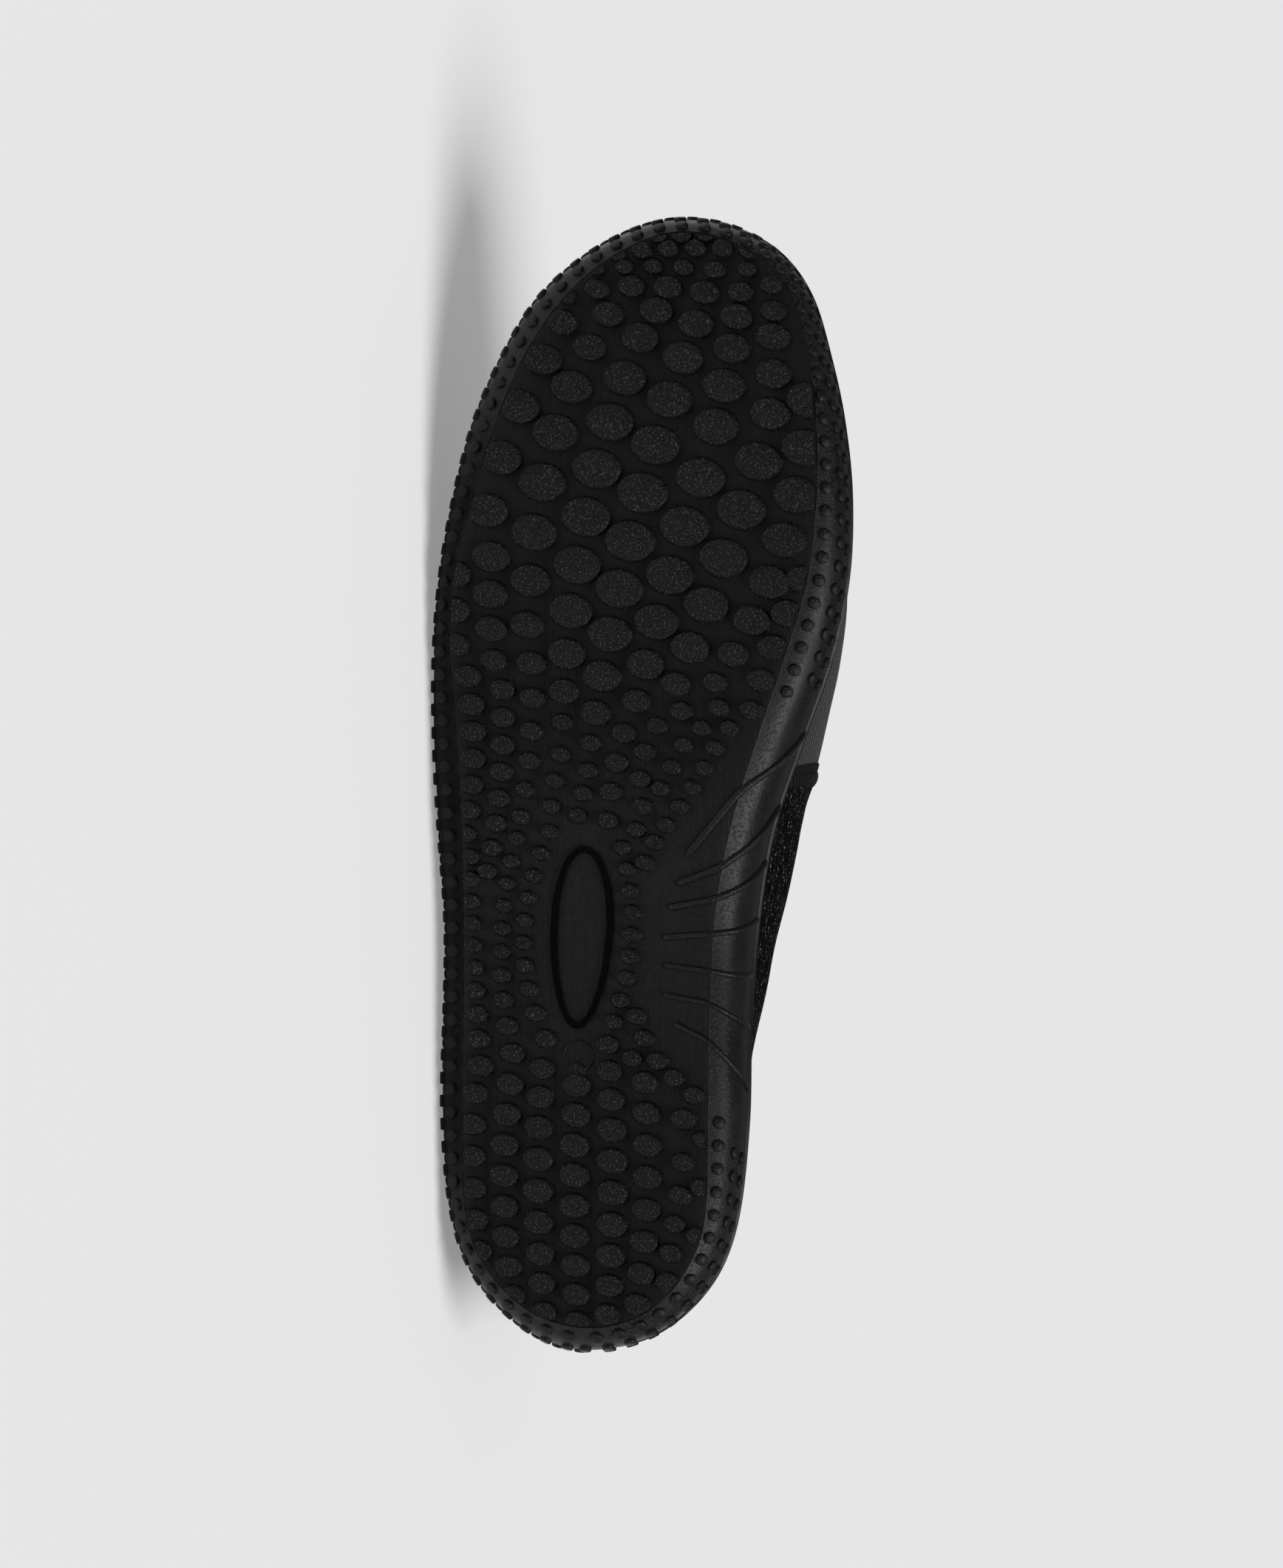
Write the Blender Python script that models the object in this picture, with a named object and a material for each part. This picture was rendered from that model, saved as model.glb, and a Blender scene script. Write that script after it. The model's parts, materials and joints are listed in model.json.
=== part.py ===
"""Water shoe for the right foot, laid down on its outer side.

The shoe is modelled upright in its own frame, in metres: X runs from heel to toe, Y towards the inner
side of the foot, Z up from the plane that the studs stand on. The last function turns it onto its outer
side, where the sole's edge and the upper both touch the ground, with the sole facing -Y and the toe -X.
"""
import math

import bmesh
import bpy
import numpy as np
from mathutils import Matrix, Vector

MM = 0.001

# Driving dimensions
SHOE_LENGTH = 280 * MM
BALL_WIDTH = 100 * MM
INSTEP_HEIGHT = 78 * MM
TOE_SPRING = 12 * MM
ARCH_RISE = 2 * MM

STUD_HEIGHT = 1.8 * MM
STUD_WIDTH = 12.5 * MM
STUD_DRAFT = 0.3 * MM
PLATE_THICKNESS = 4 * MM
SIDE_HEIGHT = 16 * MM
SIDE_WALL = 2.6 * MM
EDGE_BACK = 6 * MM
EDGE_FRONT = 3.5 * MM
RIB_WIDTH = 1.6 * MM
RIB_HEIGHT = 1 * MM
PANEL_LENGTH = 44 * MM
PANEL_WIDTH = 15 * MM
GROOVE_WIDTH = 1.5 * MM
GROOVE_DEPTH = 0.8 * MM

UPPER_WALL = 2 * MM
TAPE_WIDTH = 5.5 * MM
TAPE_THICKNESS = 0.7 * MM
BINDING_WIDTH = 4 * MM
BINDING_HEIGHT = 6 * MM
INSOLE_THICKNESS = 4 * MM

CLEARANCE = 0.3 * MM
INSOLE_GAP = 0.8 * MM
ROOT = 0.8 * MM

# Places along the shoe, as shares of its length
SPRING_START = 0.70
ARCH_START = 0.24
ARCH_END = 0.50
COLLAR_BACK = 0.025
RIDGE_END = 0.89
THROAT = 0.49
TAPE_PLACE = 0.508
TAPE_START = 0.12
PANEL_PLACE = (0.364, -0.081)

# Narrowing of the oval panel towards the heel, and of a rib towards its crest
PANEL_TAPER = 0.12
RIB_TAPER = 0.7

# How finely the forms are drawn
STATIONS = 27
STATION_ROOM = 0.6
UPPER_ROWS = 8
PANEL_SIDES = 24
SMALL_STUD_SIDES = 6
LARGE_STUD_SIDES = 9
LARGE_STUD = 8 * MM

# Shape of a stud: length over width, and how far its long axis turns towards the heel on the inner side,
# and the room between the studs of a run as a share of the widest stud
STUD_RATIO = 1.27
STUD_GAP = 0.25
STUD_TURN = math.radians(-10)

# Least part of the ground's direction that points to the outer side, for a face that the shoe can lie on
OUTER_SIDE = 0.8

# Density of each kind of material, for the shoe's balance as it lies
RUBBER_DENSITY = 1200
CLOTH_DENSITY = 300

# Outline of the sole seen from below. Along is a share of the outline's own length, the rest are
# distances out from the centre line as shares of the ball width: of the tread plate's edge and of the
# widest part of the side, on the outer and the inner side of the foot.
OUTLINE = [
    # along, plate outer, plate inner, side outer, side inner
    (0.00, 0.064, -0.064, 0.075, -0.075),
    (0.02, 0.235, 0.100, 0.240, 0.110),
    (0.08, 0.358, 0.212, 0.383, 0.252),
    (0.20, 0.382, 0.233, 0.441, 0.310),
    (0.30, 0.382, 0.236, 0.437, 0.313),
    (0.38, 0.383, 0.248, 0.437, 0.328),
    (0.46, 0.386, 0.291, 0.451, 0.368),
    (0.54, 0.394, 0.358, 0.464, 0.445),
    (0.61, 0.405, 0.422, 0.461, 0.517),
    (0.68, 0.398, 0.479, 0.446, 0.560),
    (0.75, 0.362, 0.501, 0.415, 0.568),
    (0.82, 0.307, 0.500, 0.366, 0.546),
    (0.88, 0.243, 0.480, 0.297, 0.506),
    (0.93, 0.161, 0.443, 0.214, 0.458),
    (0.965, 0.070, 0.382, 0.111, 0.389),
    (0.99, -0.041, 0.278, -0.010, 0.282),
    (1.00, -0.153, 0.153, -0.140, 0.140),
]

# Rounding of the sole's side from the plate's edge up to the rim: up is a share of the side's height,
# out the share of the way from the plate's edge to the widest outline.
SIDE_LEVELS = [
    # up, out on the outer side, out on the inner side
    (0.00, 0.00, 0.00),
    (0.10, 0.50, 0.38),
    (0.26, 0.84, 0.68),
    (0.46, 1.00, 0.88),
    (0.72, 0.94, 0.97),
    (1.00, 0.74, 1.00),
]
FLOOR_LEVEL = SIDE_LEVELS[2]

# Height of the rim over the tread, as shares of the side's height
RIM = [
    # along, outer, inner
    (0.00, 1.05, 1.05),
    (0.20, 1.00, 1.02),
    (0.38, 0.98, 1.28),
    (0.50, 0.98, 1.25),
    (0.66, 0.98, 1.00),
    (0.85, 1.00, 1.00),
    (1.00, 1.10, 1.10),
]

# Top line of the upper: its collar back to the throat, and from there the ridge over the toes. Height is
# a share of the instep height, half widths and the line's place aside are shares of the ball width, and
# level says how flat the wall runs into the line: 0 upright, 1 level.
TOP_LINE = [
    # along, height, half outer, half inner, aside, level
    (0.00, 0.880, 0.00, 0.00, -0.065, 0.00),
    (0.02, 0.875, 0.125, 0.125, -0.065, 0.00),
    (0.08, 0.840, 0.225, 0.225, -0.065, 0.00),
    (0.18, 0.755, 0.270, 0.270, -0.065, 0.00),
    (0.28, 0.715, 0.275, 0.275, -0.055, 0.02),
    (0.37, 0.760, 0.245, 0.250, -0.040, 0.15),
    (0.43, 0.860, 0.185, 0.190, -0.025, 0.40),
    (0.47, 0.950, 0.110, 0.110, -0.010, 0.75),
    (0.49, 0.995, 0.00, 0.00, 0.000, 1.00),
    (0.58, 0.955, 0.00, 0.00, 0.030, 1.00),
    (0.68, 0.860, 0.00, 0.00, 0.065, 1.00),
    (0.78, 0.755, 0.00, 0.00, 0.100, 1.00),
    (0.89, 0.665, 0.00, 0.00, 0.130, 1.00),
    (0.96, 0.615, 0.00, 0.00, 0.145, 1.00),
    (1.00, 0.590, 0.00, 0.00, 0.150, 1.00),
]

# How far the upper's wall flares out over the rim, as shares of the ball width
FLARE = [
    # along, outer, inner
    (0.00, 0.02, 0.02),
    (0.12, 0.01, -0.02),
    (0.26, 0.03, -0.01),
    (0.34, 0.08, 0.06),
    (0.42, 0.11, 0.15),
    (0.50, 0.05, 0.15),
    (0.58, 0.09, 0.05),
    (0.68, 0.07, -0.01),
    (0.80, 0.03, -0.01),
    (1.00, 0.02, 0.02),
]
WALL_RISE = 0.50
COLLAR_DROP = 0.30
COLLAR_LEAN = 0.05
COLLAR_FOLLOW = 0.9
COLLAR_SPREAD = 0.1
SHOULDER = 0.82

# Section of the collar's binding: across is a share of half its width, up a share of its height. At the
# throat it stands up along the given way, towards the heel and up.
BINDING_SECTION = [
    # across, up
    (-1.0, 0.00),
    (-1.0, 0.75),
    (-0.5, 1.00),
    (0.5, 1.00),
    (1.0, 0.75),
    (1.0, 0.00),
]
THROAT_CLIMB = (-1.0, 0.0, 0.6)

# Studs in runs, as they lie on the tread. Along is a share of the length, across and bow (sideways, at
# the middle of the run) are shares of the ball width, the widths are shares of the widest stud.
STUD_RUNS = [
    # first along, across, last along, across, bow, count, first, middle, last width
    (0.984, 0.090, 0.985, 0.210, 0.000, 3, 0.38, 0.40, 0.38),
    (0.968, -0.010, 0.970, 0.320, -0.009, 6, 0.36, 0.42, 0.40),
    (0.954, -0.055, 0.940, 0.380, -0.029, 7, 0.35, 0.47, 0.42),
    (0.931, -0.135, 0.916, 0.385, -0.043, 7, 0.42, 0.58, 0.50),
    (0.907, -0.138, 0.911, 0.296, -0.014, 5, 0.60, 0.70, 0.64),
    (0.875, 0.164, 0.536, -0.059, 0.018, 10, 0.80, 0.98, 0.42),
    (0.512, -0.065, 0.472, -0.092, 0.000, 3, 0.38, 0.38, 0.36),
    (0.883, 0.287, 0.573, 0.057, -0.008, 9, 0.73, 0.98, 0.58),
    (0.545, 0.024, 0.468, -0.017, 0.006, 4, 0.48, 0.46, 0.42),
    (0.893, 0.388, 0.588, 0.156, -0.049, 9, 0.66, 0.95, 0.58),
    (0.551, 0.107, 0.480, 0.070, 0.020, 4, 0.42, 0.43, 0.40),
    (0.837, 0.480, 0.589, 0.250, -0.054, 8, 0.88, 0.84, 0.48),
    (0.564, 0.166, 0.549, 0.217, 0.000, 2, 0.45, 0.41, 0.37),
    (0.534, 0.172, 0.496, 0.115, 0.000, 3, 0.38, 0.37, 0.36),
    (0.679, 0.469, 0.565, 0.342, 0.007, 5, 0.66, 0.62, 0.46),
    (0.567, 0.261, 0.549, 0.286, 0.000, 2, 0.42, 0.40, 0.37),
    (0.532, 0.250, 0.481, 0.155, -0.006, 4, 0.37, 0.36, 0.35),
    (0.893, 0.056, 0.549, -0.131, 0.045, 10, 0.74, 0.97, 0.46),
    (0.526, -0.133, 0.458, -0.162, 0.006, 4, 0.39, 0.37, 0.35),
    (0.885, -0.070, 0.679, -0.210, 0.030, 6, 0.66, 0.93, 0.80),
    (0.640, -0.217, 0.471, -0.234, -0.020, 7, 0.66, 0.46, 0.37),
    (0.874, -0.185, 0.741, -0.317, 0.015, 4, 0.76, 0.82, 0.82),
    (0.700, -0.307, 0.423, -0.322, -0.033, 12, 0.76, 0.51, 0.36),
    (0.683, -0.383, 0.455, -0.376, -0.017, 10, 0.66, 0.49, 0.40),
    (0.436, -0.363, 0.252, -0.333, 0.006, 10, 0.39, 0.37, 0.51),
    (0.228, -0.348, 0.089, -0.337, 0.012, 6, 0.50, 0.52, 0.50),
    (0.452, -0.245, 0.263, -0.254, 0.036, 10, 0.35, 0.35, 0.48),
    (0.236, -0.260, 0.050, -0.254, 0.019, 8, 0.54, 0.56, 0.50),
    (0.439, -0.184, 0.276, -0.171, 0.041, 9, 0.34, 0.34, 0.44),
    (0.250, -0.180, 0.036, -0.175, 0.013, 9, 0.50, 0.60, 0.48),
    (0.235, -0.094, 0.027, -0.092, 0.007, 9, 0.57, 0.60, 0.51),
    (0.271, -0.017, 0.034, -0.018, -0.013, 10, 0.44, 0.62, 0.50),
    (0.238, 0.075, 0.043, 0.057, -0.015, 8, 0.52, 0.57, 0.52),
    (0.257, 0.107, 0.060, 0.133, -0.050, 8, 0.42, 0.51, 0.49),
    (0.227, 0.197, 0.100, 0.203, -0.030, 5, 0.40, 0.50, 0.51),
    (0.442, 0.020, 0.291, -0.004, -0.041, 9, 0.34, 0.36, 0.37),
    (0.460, 0.053, 0.431, 0.074, -0.036, 3, 0.37, 0.37, 0.37),
    (0.296, 0.053, 0.259, 0.044, -0.025, 3, 0.39, 0.40, 0.40),
]

# Ribs over the inner arch: where each starts on the plate, crosses the plate's edge and meets the rim.
# Along is a share of the length, across a share of the ball width.
ARCH_RIBS = [
    # start along, start across, edge along, rim along
    (0.442, 0.175, 0.490, 0.541),
    (0.414, 0.151, 0.428, 0.475),
    (0.392, 0.127, 0.394, 0.429),
    (0.368, 0.112, 0.362, 0.383),
    (0.344, 0.116, 0.328, 0.333),
    (0.316, 0.116, 0.298, 0.288),
    (0.290, 0.144, 0.268, 0.238),
]
RIB_FLAT = 0.9
RIB_CLIMBS = (0.12, 0.30, 0.60, 0.96)


def angle(share):
    """Angle that spreads the stations towards heel and toe, where the outline turns fastest."""
    return math.acos(1 - 2 * min(max(share, 0.0), 1.0))


def smooth_column(table, column, round_ends=False):
    """Smooth curve through one column of a table, read by the share in its first column.

    With round ends the curve closes squarely across the heel and the toe, as an outline does.
    """
    places = np.array([angle(row[0]) for row in table])
    values = np.array([row[column] for row in table])
    slopes = np.gradient(values, places)
    if not round_ends:
        slopes[0] = slopes[-1] = 0.0

    def read(share):
        place = angle(share)
        low = min(max(int(np.searchsorted(places, place)) - 1, 0), len(places) - 2)
        span = places[low + 1] - places[low]
        t = (place - places[low]) / span
        start = (1 + 2 * t) * (1 - t) ** 2 * values[low] + t * (1 - t) ** 2 * span * slopes[low]
        end = t * t * (3 - 2 * t) * values[low + 1] - t * t * (1 - t) * span * slopes[low + 1]
        return float(start + end)

    return read


def mix(low, high, share):
    return low + (high - low) * share


plate_edge = {-1: smooth_column(OUTLINE, 1, True), 1: smooth_column(OUTLINE, 2, True)}
side_edge = {-1: smooth_column(OUTLINE, 3, True), 1: smooth_column(OUTLINE, 4, True)}
rim_share = {-1: smooth_column(RIM, 1), 1: smooth_column(RIM, 2)}
flare_share = {-1: smooth_column(FLARE, 1), 1: smooth_column(FLARE, 2)}
top_height = smooth_column(TOP_LINE, 1)
top_half = {-1: smooth_column(TOP_LINE, 2, True), 1: smooth_column(TOP_LINE, 3, True)}
top_aside = smooth_column(TOP_LINE, 4)
top_level = smooth_column(TOP_LINE, 5)


def tread_rise(x):
    """Height of the tread plane over the ground at x: the lift under the arch and the toe's spring."""
    share = x / SHOE_LENGTH
    toe = max(0.0, (share - SPRING_START) / (1 - SPRING_START))
    arch = min(max((share - ARCH_START) / (ARCH_END - ARCH_START), 0.0), 1.0)
    return TOE_SPRING * toe ** 2 + ARCH_RISE * math.sin(math.pi * arch) ** 2


def tread_slope(x):
    step = MM
    return (tread_rise(x + step) - tread_rise(x - step)) / (2 * step)


def side_out(level, share, side):
    """Share of the way out at a side level, the two sides' values meeting halfway at heel and toe."""
    up, outer, inner = level
    lean = 0.5 + 0.5 * side * min(1.0, 2 * math.sin(angle(share)))
    return mix(outer, inner, lean)


def skin_point(share, side, level):
    """Point on the sole's side at a level of the table SIDE_LEVELS."""
    out = side_out(level, share, side)
    plate_x = mix(EDGE_BACK, SHOE_LENGTH - EDGE_FRONT, share)
    plate_y = side * BALL_WIDTH * plate_edge[side](share)
    side_y = side * BALL_WIDTH * side_edge[side](share)
    x = mix(plate_x, SHOE_LENGTH * share, out)
    y = mix(plate_y, side_y, out)
    rim = SIDE_HEIGHT * rim_share[side](share)
    return Vector((x, y, tread_rise(x) + mix(STUD_HEIGHT, rim, level[0])))


def blend_level(share):
    """Level between the rows of SIDE_LEVELS, by a share of the way up the table."""
    place = share * (len(SIDE_LEVELS) - 1)
    low = min(int(place), len(SIDE_LEVELS) - 2)
    return tuple(mix(a, b, place - low) for a, b in zip(SIDE_LEVELS[low], SIDE_LEVELS[low + 1]))


def station_shares():
    """Stations from heel to toe, even in angle, with one at the throat and one at each tape edge."""
    half = TAPE_WIDTH / SHOE_LENGTH / 2
    fixed = [THROAT, TAPE_PLACE - half, TAPE_PLACE + half]
    shares = [0.5 - 0.5 * math.cos(math.pi * step / (STATIONS - 1)) for step in range(STATIONS)]
    room = STATION_ROOM / STATIONS
    kept = [share for share in shares if all(abs(share - place) > room for place in fixed)]
    return sorted(kept + fixed)


SHARES = station_shares()
COUNT = len(SHARES)


def both_sides(make_point):
    """Closed loop from a function of share and side: outer side heel to toe, inner side back."""
    outer = [make_point(share, -1) for share in SHARES]
    inner = [make_point(share, 1) for share in SHARES[-2:0:-1]]
    return outer + inner


def inner_index(station):
    """Place in a loop of the inner side's point at a station."""
    return (2 * COUNT - 2 - station) % (2 * COUNT - 2)


def inset_loop(loop, distance):
    """The loop moved inwards by a distance, in plan, with each point's height kept."""
    moved = []
    for k, point in enumerate(loop):
        before, after = loop[k - 1], loop[(k + 1) % len(loop)]
        first = (point - before).to_2d().normalized()
        second = (after - point).to_2d().normalized()
        along = (first + second).normalized()
        reach = distance / max(along.dot(first), 0.5)
        moved.append(Vector((point.x - along.y * reach, point.y + along.x * reach, point.z)))
    return moved


def raise_loop(loop, height):
    """The loop with each point at a height over the tread plane."""
    return [Vector((point.x, point.y, tread_rise(point.x) + height)) for point in loop]


def new_object(name, mesh_data, material):
    """An object of that name from a bmesh, shaded smooth with its sharp edges kept."""
    mesh = bpy.data.meshes.new(name)
    bmesh.ops.recalc_face_normals(mesh_data, faces=mesh_data.faces)
    mesh_data.to_mesh(mesh)
    mesh_data.free()
    mesh.shade_smooth()
    mesh.set_sharp_from_angle(angle=math.radians(40))
    mesh.materials.append(material)
    piece = bpy.data.objects.new(name, mesh)
    bpy.context.scene.collection.objects.link(piece)
    return piece


def make_cutter(piece):
    piece.hide_render = True
    piece.display_type = "WIRE"
    return piece


def add_ring(form, loop):
    return [form.verts.new(point) for point in loop]


def join_rings(form, lower, upper):
    for k in range(len(lower)):
        after = (k + 1) % len(lower)
        form.faces.new((lower[k], lower[after], upper[after], upper[k]))


def close_ring(form, ring):
    """Fill a ring with strips from its outer to its inner side."""
    for station in range(COUNT - 1):
        across, back = inner_index(station + 1), inner_index(station)
        corners = [ring[station], ring[station + 1], ring[across], ring[back]]
        form.faces.new(list(dict.fromkeys(corners)))


def join_boolean(piece, other, operation):
    step = piece.modifiers.new(f"{operation.lower()} {other.name}", "BOOLEAN")
    step.object = other
    step.operation = operation
    step.solver = "EXACT"
    return step


def rim_loop():
    return both_sides(lambda share, side: skin_point(share, side, SIDE_LEVELS[-1]))


def floor_loop(inset, height):
    """Outline at the cup's floor, moved in from the sole's skin, at a height over the tread plane."""
    loop = both_sides(lambda share, side: skin_point(share, side, FLOOR_LEVEL))
    return raise_loop(inset_loop(loop, inset), height)


def through_three(first, middle, last, step):
    """Parabola through a first, a middle and a last value, read at a share of the way."""
    ends = first * (1 - step) * (1 - 2 * step) + last * step * (2 * step - 1)
    return ends + middle * 4 * step * (1 - step)


def stud_places():
    """Centre and width of each stud, its pitch along a run following the studs' widths."""
    places = []
    for along, across, last_along, last_across, bow, count, *ends in STUD_RUNS:
        start = Vector((along * SHOE_LENGTH, across * BALL_WIDTH))
        end = Vector((last_along * SHOE_LENGTH, last_across * BALL_WIDTH))
        widths = STUD_WIDTH * through_three(*ends, np.linspace(0, 1, count))
        pitches = (widths[1:] + widths[:-1]) / 2 + STUD_GAP * STUD_WIDTH
        travel = np.concatenate([[0], np.cumsum(pitches)]) / pitches.sum()
        run = end - start
        sideways = Vector((-run.y, run.x)).normalized() * bow * BALL_WIDTH
        for share, width in zip(travel.tolist(), widths.tolist()):
            centre = start + run * share + sideways * 4 * share * (1 - share)
            places.append((centre, width))
    return places


def add_stud(form, centre, width):
    """One flat oval stud, from its tread face to its root inside the plate."""
    sides = LARGE_STUD_SIDES if width > LARGE_STUD else SMALL_STUD_SIDES
    rings = []
    for height, half in ((0.0, width / 2 - STUD_DRAFT), (STUD_HEIGHT + ROOT, width / 2)):
        ring = []
        for k in range(sides):
            turn = 2 * math.pi * (k + 0.5) / sides
            across, along = half * math.cos(turn), half / STUD_RATIO * math.sin(turn)
            dx = across * math.sin(STUD_TURN) + along * math.cos(STUD_TURN)
            dy = across * math.cos(STUD_TURN) - along * math.sin(STUD_TURN)
            z = tread_rise(centre.x) + tread_slope(centre.x) * dx + height
            ring.append(form.verts.new((centre.x + dx, centre.y + dy, z)))
        rings.append(ring)
    join_rings(form, *rings)
    form.faces.new(rings[0])
    form.faces.new(rings[1])


def make_studs(material):
    """All studs, cut off along a line just inside the plate's edge."""
    form = bmesh.new()
    for centre, width in stud_places():
        add_stud(form, centre, width)
    studs = make_cutter(new_object("stud_field", form, material))

    edge = both_sides(lambda share, side: skin_point(share, side, SIDE_LEVELS[0]))
    inside = inset_loop(edge, CLEARANCE)
    form = bmesh.new()
    below = add_ring(form, [Vector((point.x, point.y, -STUD_HEIGHT)) for point in inside])
    above = add_ring(form, [Vector((point.x, point.y, SIDE_HEIGHT + TOE_SPRING)) for point in inside])
    join_rings(form, below, above)
    close_ring(form, below)
    close_ring(form, above)
    boundary = make_cutter(new_object("stud_boundary", form, material))
    join_boolean(studs, boundary, "INTERSECT").use_self = True
    return studs


def oval_point(turn, inset):
    """Point on the oval panel's outline, a little narrower at its heel end."""
    half_length, half_width = PANEL_LENGTH / 2 - inset, PANEL_WIDTH / 2 - inset
    x = PANEL_PLACE[0] * SHOE_LENGTH + half_length * math.cos(turn)
    y = PANEL_PLACE[1] * BALL_WIDTH + half_width * (1 + PANEL_TAPER * math.cos(turn)) * math.sin(turn)
    return x, y


def make_groove(material):
    """Cutter for the groove round the oval panel in the waist."""
    form = bmesh.new()
    rings = []
    heights = ((0.0, -ROOT), (0.0, GROOVE_DEPTH), (GROOVE_WIDTH, GROOVE_DEPTH), (GROOVE_WIDTH, -ROOT))
    for inset, height in heights:
        ring = []
        for k in range(PANEL_SIDES):
            x, y = oval_point(2 * math.pi * k / PANEL_SIDES, inset)
            ring.append(form.verts.new((x, y, tread_rise(x) + STUD_HEIGHT + height)))
        rings.append(ring)
    for k, ring in enumerate(rings):
        join_rings(form, ring, rings[(k + 1) % len(rings)])
    return make_cutter(new_object("panel_groove", form, material))


def rib_path(row):
    """Points and outward directions of a rib: over the plate to its edge, then up the side to the rim."""
    start_along, start_across, edge_along, rim_along = row
    edge = skin_point(edge_along, 1, SIDE_LEVELS[0])
    start = Vector((start_along * SHOE_LENGTH, start_across * BALL_WIDTH, 0.0))
    start.z = tread_rise(start.x) + STUD_HEIGHT
    path = [(start, Vector((0, 0, -1)))]
    path.append((start.lerp(edge, RIB_FLAT), Vector((0, 0, -1))))
    for climb in RIB_CLIMBS:
        share = mix(edge_along, rim_along, climb)
        point = skin_point(share, 1, blend_level(climb))
        higher = skin_point(share, 1, blend_level(climb + 0.03))
        further = skin_point(share + 0.01, 1, blend_level(climb))
        path.append((point, (higher - point).cross(further - point).normalized()))
    return path


def make_ribs(material):
    form = bmesh.new()
    for row in ARCH_RIBS:
        path = rib_path(row)
        rings = []
        for k, (point, outward) in enumerate(path):
            travel = path[min(k + 1, len(path) - 1)][0] - path[max(k - 1, 0)][0]
            across = travel.cross(outward).normalized() * RIB_WIDTH / 2
            low, high = point - outward * ROOT, point + outward * RIB_HEIGHT
            crest = across * RIB_TAPER
            corners = (low - across, low + across, high + crest, high - crest)
            rings.append([form.verts.new(corner) for corner in corners])
        for ring, following in zip(rings, rings[1:]):
            join_rings(form, ring, following)
        form.faces.new(rings[0])
        form.faces.new(rings[-1])
    return make_cutter(new_object("arch_ribs", form, material))


def make_outsole(material):
    """Cup sole in one moulding: tread plate with its studs, and a side that wraps up round the upper."""
    form = bmesh.new()
    rings = []
    for level in SIDE_LEVELS:
        rings.append(add_ring(form, both_sides(lambda share, side: skin_point(share, side, level))))
    rings.append(add_ring(form, inset_loop(rim_loop(), SIDE_WALL)))
    rings.append(add_ring(form, floor_loop(SIDE_WALL, STUD_HEIGHT + PLATE_THICKNESS)))
    for lower, upper in zip(rings, rings[1:]):
        join_rings(form, lower, upper)
    close_ring(form, rings[0])
    close_ring(form, rings[-1])
    outsole = new_object("outsole", form, material)
    join_boolean(outsole, make_studs(material), "UNION")
    join_boolean(outsole, make_ribs(material), "UNION").use_self = True
    join_boolean(outsole, make_groove(material), "DIFFERENCE")
    return outsole


def make_insole(material):
    """Flat foam sock that lies on the cup's floor inside the upper."""
    inset = SIDE_WALL + CLEARANCE + UPPER_WALL + INSOLE_GAP
    bottom = STUD_HEIGHT + PLATE_THICKNESS + CLEARANCE
    form = bmesh.new()
    lower = add_ring(form, floor_loop(inset, bottom))
    upper = add_ring(form, floor_loop(inset, bottom + INSOLE_THICKNESS))
    join_rings(form, lower, upper)
    close_ring(form, lower)
    close_ring(form, upper)
    return new_object("insole", form, material)


def top_point(share, side):
    """Point on the upper's top line: on the collar behind the throat, on the ridge before it."""
    x = SHOE_LENGTH * mix(COLLAR_BACK, RIDGE_END, share)
    half = top_half[side](share) if 0 < share < THROAT else 0.0
    y = BALL_WIDTH * (top_aside(share) + side * max(half, 0.0))
    return Vector((x, y, INSTEP_HEIGHT * top_height(share)))


def ridge_fall(share):
    """How much the top line drops for each step towards the toe."""
    step = 0.01
    before, after = top_point(min(share, 1.0) - step, 1), top_point(min(share + step, 1.0), 1)
    return (before.z - after.z) / (after.x - before.x)


def wall_handles(base, foot, top, share, side):
    """Handles of the wall's curve from the rim to the top line."""
    height = top.z - base.z
    outward = Vector((base.x - top.x, base.y - top.y, 0.0))
    spread = outward.length
    outward.normalize()
    if share < THROAT:
        spread_y = side * BALL_WIDTH * COLLAR_SPREAD * math.sin(angle(share))
        outward = Vector((base.x - mix(top.x, base.x, COLLAR_FOLLOW), spread_y, 0)).normalized()
    rising = (base - foot).normalized().lerp(Vector((0, 0, 1)), 0.5).normalized()
    level = min(max(top_level(share), 0.0), 1.0)
    low = base + rising * height * WALL_RISE + outward * BALL_WIDTH * flare_share[side](share)
    reach = mix(COLLAR_LEAN * BALL_WIDTH, SHOULDER * spread, level)
    drop = mix(COLLAR_DROP * height, max(outward.x, 0.0) * reach * ridge_fall(share), level)
    high = top + outward * reach - Vector((0, 0, 1)) * drop
    return low, high


def upper_rows(inset):
    """Loops of the upper's outer face from its lower edge up to the top line."""
    lower = floor_loop(inset, STUD_HEIGHT + PLATE_THICKNESS + CLEARANCE)
    base = inset_loop(rim_loop(), inset)
    sides = [(share, -1) for share in SHARES] + [(share, 1) for share in SHARES[-2:0:-1]]
    rows = [lower, base]
    for row in range(1, UPPER_ROWS + 1):
        t = row / UPPER_ROWS
        loop = []
        for k, (share, side) in enumerate(sides):
            top = top_point(share, side)
            low, high = wall_handles(base[k], lower[k], top, share, side)
            weights = ((1 - t) ** 3, 3 * t * (1 - t) ** 2, 3 * t * t * (1 - t), t ** 3)
            points = (base[k], low, high, top)
            loop.append(sum((point * weight for point, weight in zip(points, weights)), Vector((0, 0, 0))))
        rows.append(loop)
    return rows


def upper_sheet(rows):
    """The upper's outer face as one open sheet, joined along the ridge."""
    form = bmesh.new()
    rings = [add_ring(form, loop) for loop in rows]
    for lower, upper in zip(rings, rings[1:]):
        join_rings(form, lower, upper)
    bmesh.ops.remove_doubles(form, verts=form.verts, dist=0.01 * MM)
    return form


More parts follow.
